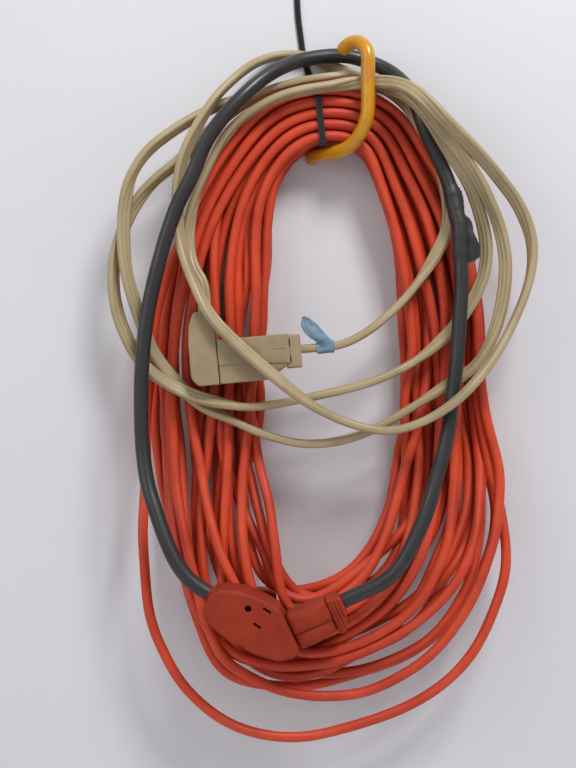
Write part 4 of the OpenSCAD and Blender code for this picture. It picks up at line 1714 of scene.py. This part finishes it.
@dataclass(frozen=True)
class RepeatAlong:
    """A Geometry Nodes tree that sets copies of one small shape along a curve."""

    name: str
    spacing: float

    def tree(self, stamp: bpy.types.Object, material: bpy.types.Material) -> bpy.types.NodeTree:
        """Builds the tree.

        Args:
            stamp: The shape that is repeated.
            material: Its finish.

        Returns:
            The tree, with a named input for its spacing.
        """
        tree, sheet, source, target = new_group(
            self.name, {"Curve": SHAPE, "Spacing": NUMBER}, {"Mesh": SHAPE}, "GeometryNodeTree"
        )
        feeds = {"Curve": source["Curve"], "Length": source["Spacing"]}
        steps = sheet.add("GeometryNodeCurveToPoints", feeds, mode="LENGTH").outputs
        shape = sheet.add("GeometryNodeObjectInfo", {"Object": stamp}, transform_space="ORIGINAL")
        copies = sheet.add("GeometryNodeInstanceOnPoints", {
            "Points": steps["Points"], "Instance": shape.outputs["Geometry"],
            "Rotation": steps["Rotation"],
        })
        real = sheet.add("GeometryNodeRealizeInstances", {"Geometry": copies.outputs["Instances"]})
        dress = sheet.add(
            "GeometryNodeSetMaterial", {"Geometry": real.outputs["Geometry"], "Material": material}
        )
        sheet.feed(target, {"Mesh": dress.outputs["Geometry"]})
        return tree

    def make(self, line: Array, stamp: Shell, material: bpy.types.Material) -> bpy.types.Object:
        """Makes the row of copies as one plain mesh.

        Args:
            line: The curve that they follow, in millimetres.
            stamp: The shape, in its own millimetres, with Z along the curve.
            material: Its finish.

        Returns:
            The object at the origin.
        """
        pattern = stamp.build(self.name + "_stamp", material)
        curve = bpy.data.curves.new(self.name, "CURVE")
        curve.dimensions = "3D"
        spline = curve.splines.new("POLY")
        spline.points.add(len(line) - 1)
        for spot, place in zip(spline.points, line * MM):
            spot.co = (*place, 1)
        guide = linked(self.name, curve)
        step = guide.modifiers.new(self.name, "NODES")
        step.node_group = self.tree(pattern, material)
        for item in step.node_group.interface.items_tree:
            if item.name == "Spacing":
                step[item.identifier] = self.spacing * MM
        mesh = evaluated_mesh(guide)
        for spent in (guide, pattern):
            bpy.data.objects.remove(spent)
        tidy_mesh(mesh, BLOCK_SHARP)
        return linked(self.name, mesh)


# ---------------------------------------------------------------- cable tie


@dataclass
class CableTie(Placed):
    """The strap round the top of the hank, with its head, its long tail and its fine teeth."""

    at: Point = (8.2, 0, 0)
    tilt: float = -6.0
    width: float = 4.8
    thick: float = 1.2
    low: float = 5.2
    high: float = 48.2
    back: float = -2.25
    front: float = -36.05
    head: float = 7.0
    tail_y: float = -0.3
    tail: tuple[Flat, ...] = (
        (3, 54), (0, 61), (-4, 70), (-7, 82), (-9, 96), (-11, 112), (-12, 129),
    )

    def band(self) -> Shell:
        """Makes the shell of the strap's loop round the cords.

        Returns:
            The shell.
        """
        half, bend_r = self.thick / 2, 4.5
        back, front = self.back + half, self.front - half
        low, high = self.low - half, self.high + half
        spots = ((back, low), (back, high), (front, high), (front, low))
        loop = rounded_outline(tuple((*spot, bend_r) for spot in spots), 0.8)
        line = np.column_stack([np.zeros(len(loop)), loop])
        way = np.roll(line, -1, axis=0) - np.roll(line, 1, axis=0)
        way /= np.linalg.norm(way, axis=1, keepdims=True)
        line, way = np.vstack([line, line[:1]]), np.vstack([way, way[:1]])
        side = np.tile([1.0, 0.0, 0.0], (len(line), 1))
        ring = self.strap_ring()
        band = sweep(line, (side, np.cross(way, side)), lambda i, s: ring, cap=False)
        return band.moved(self.place)

    def strap_ring(self) -> Array:
        """Gives the strap's section: a flat bar with rounded edges."""
        wide, deep, edge = self.width / 2, self.thick / 2, 0.35
        return rounded_outline(oblong(-wide, -deep, wide, deep, edge), edge)

    def tail_line(self) -> Array:
        """Gives the tail's centreline, in front of the wall."""
        flat = np.array([(x, self.tail_y - self.thick / 2, z) for x, z in self.tail], float)
        return even_steps(catmull(flat, 8), 1.0)

    def build(self, bench: Bench) -> None:
        """Makes the strap, the head, the tail and the tail's teeth.

        Args:
            bench: The finishes.
        """
        strap = (Body.HUNG, Slot.NYLON)
        bench.make("tie_band", self.band(), *strap, ("cable_tie",))
        head = Cushioned(oblong(-3.6, 0, 3.6, self.head, 0.8), 6.0, 0.6, 0.1)
        bench.make("tie_head", head.shell(self.place @ shifted(0, -3.3, self.high)), *strap)
        line = self.tail_line()
        ring = self.strap_ring()
        tail = sweep(line, wall_frames(line), lambda i, s: ring * (0.6 if i > len(line) - 3 else 1))
        bench.make("tie_tail", tail, *strap)
        outer = line[4:-3] + np.array([0, -self.thick / 2, 0])
        tooth = box(1.3, 0.12, -0.16, 0.16)
        teeth = RepeatAlong("tie_teeth", 0.75).make(outer, tooth, bench.finishes[Slot.NYLON])
        bench.finish(teeth, *strap)


# ---------------------------------------------------------------- outlets and plugs


@dataclass(frozen=True)
class Pins:
    """The sizes of the flat blades and the round ground pin, and of the holes they enter."""

    pitch: float = 12.7
    blade_w: float = 6.3
    blade_t: float = 1.5
    pin_d: float = 4.75
    pin_off: float = 11.9
    gap: float = 0.1

    def holes(self, place: Matrix, depth: float = 19.5) -> list[Shell]:
        """Makes the cutters of one outlet, with +Z out of its face.

        Args:
            place: Where the outlet's frame goes, in millimetres.
            depth: How deep the holes go.

        Returns:
            The cutters.
        """
        slot = box(self.blade_t / 2 + self.gap, self.blade_w / 2 + self.gap, -depth, 2)
        hole = rod(self.pin_d / 2 + self.gap, -depth, 2)
        half = self.pitch / 2
        spots = ((slot, (-half, 0, 0)), (slot, (half, 0, 0)), (hole, (0, -self.pin_off, 0)))
        return [shape.moved(place @ Matrix.Translation(spot)) for shape, spot in spots]


def face_turn(look: int) -> Matrix:
    """Turns an outlet's frame to look along +X or -X, with its ground pin below."""
    return turned(90, "Z") @ turned(90, "X") @ turned(180 if look < 0 else 0)


@dataclass
class FlatPair(Placed):
    """The flat cord's connector with the right-angle plug pushed into it."""

    at: Point = (-70.6, -50, -160.4)
    tilt: float = -5.0
    pins: Pins = field(default_factory=Pins)

    def plug(self, bench: Bench) -> bpy.types.Object:
        """Makes the right-angle plug's body and the ridge on it.

        Args:
            bench: The finishes.

        Returns:
            The body.
        """
        beige = (Body.HUNG, Slot.BEIGE_MOULDING)
        corners = (
            (-0.4, -18.2, 1.2), (-0.4, 30, 3.0), (-4, 36.8, 4), (-15.5, 36.8, 4),
            (-19.6, 27, 9), (-21, 13, 12), (-21, -12, 10), (-16.4, -18.2, 6),
        )
        body = self.block(corners, 26, 1.1, 0.5)
        ridge = self.block(oblong(-14.2, -6, -13.2, 14, 0.3), 26.3, 0.2, 0.05, 0.0)
        piece = bench.make("angle_plug_body", body, *beige, ("angle_plug",))
        bench.make("angle_plug_ridge", ridge, *beige)
        return piece

    def connector(self, bench: Bench) -> list[bpy.types.Object]:
        """Makes the connector: its stepped body, its tab, its ridge and its notched collar.

        Args:
            bench: The finishes.

        Returns:
            The four pieces.
        """
        beige = (Body.FLAT_CONNECTOR, Slot.BEIGE_MOULDING)
        upper = self.block(
            ((0.2, -4.4, 0.8), (0.2, 15, 1.6), (53, 15, 1.5), (53, -7, 1.5), (30, -5.4, 3)),
            26, 0.9, 0.4,
        )
        lower = self.block(
            ((0.2, -18, 1.6), (0.2, -2, 0.8), (52, -4, 0.8), (51.4, -7.9, 0.8), (35.5, -17.6, 2.4)),
            23.8, 1.0, 0.3,
        )
        mouth = self.place @ shifted(0.2, 0, 3) @ face_turn(-1)
        body = bench.make(
            "connector_body", upper, *beige, ("flat_connector",), CUT_SHARP,
            added=[lower], cutters=self.pins.holes(mouth),
        )
        tab = self.block(((6.5, 10, 0.5), (6.5, 21, 1), (12, 21, 1), (12, 10, 0.5)), 14, 0.8, 0.1)
        ridge = self.block(oblong(40, 4.6, 50, 5.4, 0.3), 26.5, 0.2, 0.05, 0.0)
        collar = self.block(
            ((50.4, -10.5, 1), (50.4, 14.5, 1), (61.7, 14, 1.4), (61.7, -10.5, 1.4)), 22.4, 1.5, 0.3
        )
        notches = [
            box(1.1, 2.2, -2.6, 2.6).moved(self.place @ shifted(52.9, side * 11.6, z))
            for side in (-1, 1) for z in (-3.8, 8.2)
        ]
        return [
            body,
            bench.make("connector_tab", tab, *beige),
            bench.make("connector_ridge", ridge, *beige),
            bench.make(
                "connector_collar", collar, *beige, ("flat_connector_collar",), CUT_SHARP,
                cutters=notches,
            ),
        ]


@dataclass
class RoundPair(Placed):
    """The heavy cord's three-outlet tap with the heavy cord's plug pushed into its end."""

    at: Point = (-17.5, -78, -353.3)
    tilt: float = -25.0
    pins: Pins = field(default_factory=Pins)
    tap_t: float = 36.0
    axis: float = 121.5
    outlet: Flat = (-14, 17)
    orange: tuple[Body, Slot] = (Body.HUNG, Slot.ORANGE_MOULDING)

    def tap(self, bench: Bench) -> bpy.types.Object:
        """Makes the tap's body with its outlets.

        Args:
            bench: The finishes.

        Returns:
            The body.
        """
        outline = (
            (0, -17, 5), (0, 17, 6), (-3, 21, 8), (-8, 28, 12), (-15, 36, 12), (-21, 41, 12),
            (-29, 46, 10), (-37, 48.5, 8), (-43, 45, 6), (-49, 40, 5), (-50, 36, 6),
            (-49.5, 27, 12), (-46, 19, 12), (-41, 11, 14), (-32, -1, 14), (-28, -6, 12),
            (-19, -14.5, 10), (-14, -17.5, 8), (-6, -18.5, 8),
        )
        middle = (-24, 14)
        body = self.block(outline, self.tap_t, 2.6, 0.4, SEAM, middle)
        end = self.place @ shifted(0, 0, 3) @ face_turn(1)
        front = (
            self.place
            @ shifted(self.outlet[0], -self.tap_t / 2, self.outlet[1])
            @ turned(90 - self.axis)
            @ turned(90, "X") @ turned(180, "Z")
        )
        holes = self.pins.holes(end) + self.pins.holes(front, self.tap_t + 2)
        return bench.make("tap_body", body, *self.orange, ("tap",), cutters=holes)

    def relief(self, bench: Bench, entry: Sequence[Point]) -> bpy.types.Object:
        """Makes the ribbed sleeve where the heavy cord enters the tap.

        Args:
            bench: The finishes.
            entry: The cord's first two points.

        Returns:
            The sleeve.
        """
        start, after = (np.array(p, float) for p in entry)
        way = unit_way(after - start)
        line = np.array([start + way * s for s in np.linspace(-14, 0, 29)])
        ring = circle(1.0, 32)

        def section(i: int, along: float) -> Array:
            """Gives a ring of the sleeve, with its ribs."""
            rib = 0.35 * math.cos(2 * math.pi * along / 3.5)
            return ring * (6.75 - 0.02 * along + rib * (0 if i in (0, 28) else 1))

        sleeve = sweep(line, carried_frames(line), section)
        return bench.make("tap_sleeve", sleeve, *self.orange, ("tap_relief",))

    def plug(self, bench: Bench) -> list[bpy.types.Object]:
        """Makes the plug's two-lobed body and its ribbed grip.

        Args:
            bench: The finishes.

        Returns:
            The body and the grip.
        """
        orange = (Body.ROUND_PLUG, Slot.ORANGE_MOULDING)
        upper = self.block(
            ((0.2, -6, 2), (0.2, 10.5, 4), (26, 9, 5), (31, 8, 3), (31, -7, 3)), 25, 3.6, 1.0
        )
        lower = self.block(
            ((0.2, -17.5, 4), (0.2, -3, 2), (31, -4, 2), (31, -16, 3), (14, -18, 10)), 19, 3.4, 0.8
        )
        outline = (
            (31, -18.5, 2), (36, -19.5, 5), (42.3, -6, 2.5), (42.3, 5.5, 2.5), (39.5, 7, 2),
            (31, 8.5, 2),
        )
        grip = self.block(outline, 22, 2.6, 0.4)
        ribs = [
            box(0.55, 1, -30, 30).moved(self.place @ shifted(x, side * 11, 0))
            for side in (-1, 1) for x in (33.75, 36.35, 38.95)
        ]
        return [
            bench.make("plug_body", upper, *orange, ("round_plug",), SOFT_SHARP, added=[lower]),
            bench.make("plug_grip", grip, *orange, ("round_plug_grip",), CUT_SHARP, cutters=ribs),
        ]


@dataclass
class HiddenPair(Placed):
    """The hank's own plug and connector, behind the foot of the hank."""

    at: Point = (0, -12.0, -347.0)
    tilt: float = 0.0
    plug_x: Flat = (-5, 27.8)
    connector_x: Flat = (-65.8, -28)
    thick: float = 21.5
    height: float = 28.0
    blade_y: float = 5.0
    pins: Pins = field(default_factory=Pins)

    def shell(self, face: float, cord: float) -> Shell:
        """Makes the shell of one moulded body that narrows from its face to its cord.

        Args:
            face: Where its face lies, across.
            cord: Where its cord leaves it, across.

        Returns:
            The shell.
        """
        way = math.copysign(1, cord - face)
        half = self.height / 2
        top = half - 4.5
        corners = (
            (face, -half, 2.5), (face, top - 1.5, 2), (face + way * 3, top, 2),
            (face + way * 18, top, 7), (cord - way * 8, 6.5, 6), (cord, 5.5, 1), (cord, -5.5, 1),
            (cord - way * 8, -7, 6), (face + way * 18, -half, 7),
        )
        return self.block(corners, self.thick, 3.0, 0.5)

    def build(self, bench: Bench) -> tuple[bpy.types.Object, bpy.types.Object]:
        """Makes the plug's body and the connector's body.

        Args:
            bench: The finishes.

        Returns:
            The plug and the connector.
        """
        orange = (Body.HUNG, Slot.ORANGE_MOULDING)
        plug = self.shell(*self.plug_x)
        cord, face = self.connector_x
        mouth = self.place @ shifted(face, self.blade_y, 0) @ turned(90)
        return (
            bench.make("hank_plug_body", plug, *orange, ("hank_plug",), SOFT_SHARP),
            bench.make(
                "hank_connector_body", self.shell(face, cord), *orange, ("hank_connector",),
                CUT_SHARP, cutters=self.pins.holes(mouth),
            ),
        )


# ---------------------------------------------------------------- tapes


@dataclass
class SpliceTape:
    """The worn tape round the heavy cord, with its ragged, torn end standing off."""

    line: tuple[Point, ...] = (
        (102, -50, -30), (103, -50, -33), (106, -51, -48), (109, -52, -63), (110, -52, -87),
    )
    cord_d: float = 11.0
    thick: float = 1.2
    flap_y: float = -52.0
    flap: tuple[Flat, ...] = (
        (104, -38), (108.7, -31), (109.6, -34.2), (110.4, -33.6), (110.8, -36), (112.2, -41.5),
        (111.4, -43), (112.2, -45), (111.9, -49), (113, -51.8), (114.2, -53), (116.2, -54.4),
        (118, -57.5), (118.8, -60.5), (119, -63), (118.9, -64.6), (120, -66.8), (120.9, -69.2),
        (122.5, -72.5), (123.6, -74.8), (123.4, -76), (124.1, -79), (124, -83.4), (122, -84.8),
        (120.6, -86.4), (118, -86.8), (115.4, -88.4), (112, -87.5), (106, -80), (104, -60),
    )

    def build(self, bench: Bench) -> list[bpy.types.Object]:
        """Makes the sleeve of tape and the torn sheet beside it.

        Args:
            bench: The finishes.

        Returns:
            The sleeve and the sheet.
        """
        line = even_steps(catmull(np.array(self.line, float), 10), 0.9)
        sides, worn = 40, 7
        turn = angles(sides)
        ragged = np.abs(np.random.default_rng(11).normal(0, 0.5, sides))[:, None]

        def section(i: int, along: float) -> Array:
            """Gives a ring that steps up where each turn of tape overlaps the last.

            Args:
                i: The ring's number.
                along: Its distance along the cord.

            Returns:
                The ring's points.
            """
            lap = (along / 11.0 - turn / (2 * math.pi)) % 1.0
            reach = self.cord_d / 2 + 0.55 + 0.2 * lap
            reach = reach + 0.12 * np.sin(2 * turn + along / 7.0)
            left = min(i, len(line) - 1 - i)
            reach = reach - 0.75 * (1 - left / worn) ** 1.5 if left < worn else reach
            return polar(reach, turn)

        shell = sweep(line, carried_frames(line), section)
        way = headings(line)
        last = len(line) - 1
        for i, sign in ((0, -1), (1, -1), (last, 1), (last - 1, 1)):
            shell.points[i * sides : (i + 1) * sides] += ragged * way[i] * sign * 0.5
        black = (Body.HUNG, Slot.BLACK_TAPE)
        sleeve = bench.make("tape_wrap", shell, *black, ("splice_tape",), SOFT_SHARP)
        torn = bench.make("tape_torn_end", self.torn_sheet(), *black, sharp=CUT_SHARP)
        return [sleeve, torn]

    def torn_sheet(self) -> Shell:
        """Makes the torn end: a thin sheet with a ragged edge that curls off the cord.

        Returns:
            The sheet's shell.
        """
        loop = np.array([*self.flap, self.flap[0]], float)
        rim = spread_along(loop, np.linspace(0, run_along(loop)[-1], 150, endpoint=False))
        rim += np.random.default_rng(5).normal(0, 0.14, rim.shape)
        centre = np.array([[112.0, -70.0]])
        rings = [centre + (rim - centre) * s for s in (1, 0.92, 0.8, 0.65, 0.5, 0.35, 0.2, 0.08)]

        def face(flat: Array, side: int) -> Array:
            """Gives points of the sheet's front, at side -1, or of its back, at side 1.

            Args:
                flat: The points across and up.
                side: -1 for the front, 1 for the back.

            Returns:
                The points.
            """
            x, z = flat.T
            lift = 0.06 * np.maximum(0, x - 111) ** 1.5 * np.cos((z + 70) / 9.0)
            off = self.flap_y - 0.4 - lift - 0.25 * np.sin(z / 2.3 + x / 3.1)
            return np.stack([x, off + side * self.thick / 2, z], axis=1)

        both = [face(ring, -1) for ring in reversed(rings)] + [face(ring, 1) for ring in rings]
        return fan_shell(both, face(centre, -1)[0], face(centre, 1)[0])


@dataclass
class CordTape(Placed):
    """The short band of tape on the flat cord, with its free end folded up."""

    at: Point = (8.84, -50.0, -150.44)
    tilt: float = -5.0
    cord_w: float = 10.0
    cord_t: float = 6.4
    length: float = 13.0

    def build(self, bench: Bench) -> list[bpy.types.Object]:
        """Makes the band and its folded end.

        Args:
            bench: The finishes.

        Returns:
            The band and the folded end.
        """
        line = np.array([(s, 0.0, 0.0) for s in np.linspace(-self.length / 2, self.length / 2, 27)])
        turn = angles(40)
        bumps = np.random.default_rng(3).normal(0, 0.1, (len(line), len(turn)))
        across, out = squared(turn, self.cord_t / 2 + 1.5, self.cord_w / 2 + 0.8, 3.2)

        def section(i: int, along: float) -> Array:
            """Gives a ring of the band, with the wrinkles of a hand-wound strip."""
            scale = 1 + 0.02 * np.sin(2 * turn + along / 1.7) + 0.02 * bumps[i]
            return np.stack([across * scale, out * scale], axis=1)

        band = sweep(line, wall_frames(line), section).moved(self.place)
        end = self.folded_end().moved(shifted(*self.at))
        blue = (Body.FLAT_CONNECTOR, Slot.BLUE_TAPE)
        return [
            bench.make("blue_tape_band", band, *blue, ("cord_tape",), SOFT_SHARP),
            bench.make("blue_tape_end", end, *blue, sharp=60),
        ]

    def folded_end(self) -> Shell:
        """Makes the free end: a strip that rises from the band, twists and folds on itself.

        Returns:
            The strip's shell.
        """
        rows, cols, thick = 48, 17, 0.45
        root = np.array(
            [(3.5, 1.5), (0, 4), (-4, 7.2), (-8, 10.6), (-12, 14.4), (-15, 18.5), (-16.5, 22.5)]
        )
        half_width = np.array([3.6, 3.8, 4.6, 5.4, 5.6, 4.2, 1.0])
        tilt = np.radians([-35, -38, -40, -42, -46, -54, -66]) - math.pi / 2
        share = np.linspace(0, 1, rows)[:, None]
        knots = np.linspace(0, 1, len(root))
        x, z, half, lean = (np.interp(share, knots, v) for v in (*root.T, half_width, tilt))
        t = np.linspace(-1, 1, cols)
        bow = 2.4 * (1 - t * t) * np.sin(math.pi * np.minimum(1, 1.2 * share))
        fold = np.abs((3.4 * share + 0.5 * t) % 1 - 0.5) * 2
        crumple = (0.9 * fold + 0.3 * np.sin(7 * t + 11 * share)) * share
        y = -self.cord_w / 2 - 0.9 - bow - crumple
        grid = np.stack([x + np.cos(lean) * half * t, y, z + np.sin(lean) * half * t], axis=2)
        size = rows * cols
        faces = []
        for a in (i * cols + j for i in range(rows - 1) for j in range(cols - 1)):
            b, c, d = a + 1, a + cols + 1, a + cols
            faces += [(a, b, c, d), (size + a, size + d, size + c, size + b)]
        rims = [(i * cols + j, (i + 1) * cols + j) for i in range(rows - 1) for j in (0, cols - 1)]
        rims += [(i * cols + j, i * cols + j + 1) for j in range(cols - 1) for i in (0, rows - 1)]
        faces += [(a, b, size + b, size + a) for a, b in rims]
        out = np.array([0, thick / 2, 0])
        flat = grid.reshape(-1, 3)
        return Shell(np.vstack([flat - out, flat + out]), faces)


# ---------------------------------------------------------------- room


@dataclass
class Room:
    """The wall, the floor, the lamps and the camera."""

    eye: Point = (-0.019, -0.9, -0.1781)
    half_height_px: float = 384.0
    focal_px: float = 1137.0
    wall_y: float = 0.0004
    floor_z: float = -0.72

    def camera(self) -> None:
        """Sets the camera square to the wall."""
        data = bpy.data.cameras.new("camera")
        data.sensor_fit = "VERTICAL"
        data.sensor_height = 24
        data.lens = data.sensor_height / 2 * self.focal_px / self.half_height_px
        view = linked("camera", data)
        view.location = self.eye
        view.rotation_euler = (math.radians(90), 0, 0)
        bpy.context.scene.camera = view

    def painted(self, name: str, colour: tuple[int, int, int]) -> bpy.types.Material:
        """Makes a plain painted surface that is only seen from its front.

        Args:
            name: The paint's name.
            colour: Red, green and blue, 0 to 255.

        Returns:
            The paint.
        """
        material = bpy.data.materials.new(name)
        material.use_nodes = True
        sheet = NodeSheet(material.node_tree)
        place = sheet.add("ShaderNodeTexCoord").outputs["Object"]
        base = linear(*colour)
        dull = (*(part * 0.93 for part in base[:3]), 1.0)
        mixed = sheet.mix_colour(sheet.noise(place, 6.0, 4), base, dull)
        paint = sheet.add("ShaderNodeBsdfPrincipled", {"Base Color": mixed, "Roughness": 0.8})
        clear = sheet.add("ShaderNodeBsdfTransparent")
        back = sheet.add("ShaderNodeNewGeometry").outputs["Backfacing"]
        feeds = {0: back, 1: paint.outputs[0], 2: clear.outputs[0]}
        mix = sheet.add("ShaderNodeMixShader", feeds)
        sheet.add("ShaderNodeOutputMaterial", {"Surface": mix.outputs[0]})
        return material

    def sheet_of(self, name: str, corners: Sequence[Point], material: bpy.types.Material) -> None:
        """Makes one flat stage piece.

        Args:
            name: Its name.
            corners: Its four corners.
            material: Its paint.
        """
        mesh = bpy.data.meshes.new(name)
        mesh.from_pydata(list(corners), [], [(0, 1, 2, 3)])
        mesh.materials.append(material)
        linked(name, mesh)

    def lamp(self, name: str, place: Point, aim: Point, size: float, power: float) -> None:
        """Hangs one soft square lamp.

        Args:
            name: Its name.
            place: Where it hangs.
            aim: What it points at.
            size: How long its sides are, in metres.
            power: Its power, in watts.
        """
        data = bpy.data.lights.new(name, "AREA")
        data.size, data.energy = size, power
        light = linked(name, data)
        light.location = place
        light.rotation_euler = (Vector(aim) - Vector(place)).to_track_quat("-Z", "Y").to_euler()

    def stage(self) -> None:
        """Sets the wall, the floor, the lamps and the soft light of the room."""
        wall = self.painted("wall_paint", (222, 222, 226))
        y, low = self.wall_y, self.floor_z
        self.sheet_of("wall", [(-3, y, low), (3, y, low), (3, y, 2.5), (-3, y, 2.5)], wall)
        floor = self.painted("floor_paint", (226, 225, 228))
        self.sheet_of("floor", [(-3, -4, low), (3, -4, low), (3, 4, low), (-3, 4, low)], floor)
        aim = (0.0, 0.0, -0.15)
        self.lamp("key", (0.5, -1.1, 1.15), aim, 0.5, 21.0)
        self.lamp("fill", (-1.3, -1.2, 0.5), aim, 1.2, 7.0)
        self.lamp("rear", (0.9, 1.6, 0.7), aim, 1.2, 8.0)
        world = bpy.data.worlds.new("room")
        world.use_nodes = True
        back = world.node_tree.nodes["Background"]
        back.inputs["Color"].default_value = (0.97, 0.98, 1.0, 1.0)
        back.inputs["Strength"].default_value = 0.38
        bpy.context.scene.world = world
        bpy.context.scene.view_settings.view_transform = "Standard"


# ---------------------------------------------------------------- the whole group


def make_cords(bench: Bench) -> dict[str, tuple[bpy.types.Object, Array]]:
    """Makes every cord.

    Args:
        bench: The finishes.

    Returns:
        Each cord and its centreline, by name.
    """
    flat = FlatSection(10.0, 6.4)
    heavy = RoundSection(11.0, 28, lobe=0.008, lay=130)
    made = {"hank": HankCord().build(bench)}
    tap_cord = FreeCord("tap_cord_run", TAP_CORD_ROUTE, heavy, Slot.DARK_JACKET, "tap_cord")
    plug_cord = FreeCord("plug_cord_run", PLUG_CORD_ROUTE, heavy, Slot.DARK_JACKET, "plug_cord")
    loops = FreeCord("flat_cord_loops", FLAT_CORD_ROUTE, flat, Slot.BEIGE_JACKET, "flat_cord")
    lead = FreeCord(
        "flat_cord_lead", FLAT_LEAD_ROUTE, flat, Slot.BEIGE_JACKET, "flat_connector_lead",
        flat_ends=(-90.0, 30.0), loll=0.0,
    )
    others = [
        (made["hank"][1] / MM, HANK_REACH), (tap_cord.line(), HEAVY_REACH),
        (plug_cord.line(), HEAVY_REACH), (WallHook().centreline(), HOOK_REACH),
    ]
    made[loops.name] = loops.build(bench, Body.HUNG, [*others, (lead.line(), FLAT_REACH)])
    made[lead.name] = lead.build(bench, None, [*others, (loops.line(), FLAT_REACH)])
    made[tap_cord.name] = tap_cord.build(bench, Body.HUNG)
    made[plug_cord.name] = plug_cord.build(bench, None)
    return made


def main() -> None:
    """Builds the whole group in order."""
    logging.basicConfig(level=logging.INFO, format="%(name)s: %(message)s")
    room = Room()
    room.camera()
    effects = SharedEffects(build_skin_group(), build_dust_group(), build_wear_and_painted_shade_group())
    bench = Bench({finish.slot: finish.build(effects) for finish in FINISHES})
    cords = make_cords(bench)
    WallHook().build(bench)
    CableTie().build(bench)
    flat_pair, round_pair = FlatPair(), RoundPair()
    angle_plug = flat_pair.plug(bench)
    connector = flat_pair.connector(bench)
    tap = round_pair.tap(bench)
    sleeve = round_pair.relief(bench, TAP_CORD_ROUTE[:2])
    plug = round_pair.plug(bench)
    hidden_plug, hidden_connector = HiddenPair().build(bench)
    splice = SpliceTape().build(bench)
    tape = CordTape().build(bench)
    for node in (
        "hank_connector_contacts", "hank_plug_blades", "flat_connector_contacts",
        "angle_plug_blades", "angle_plug_pin", "tap_contacts", "round_plug_blades",
        "round_plug_pin",
    ):
        bench.dress_node(node, Slot.BRASS)
    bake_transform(cords["plug_cord_run"][0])
    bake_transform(cords["flat_cord_lead"][0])
    LOG.info("the first end lies in %s, the splice in %s", hidden_connector.name, splice[0].name)
    room.stage()


if __name__ == "__main__":
    main()
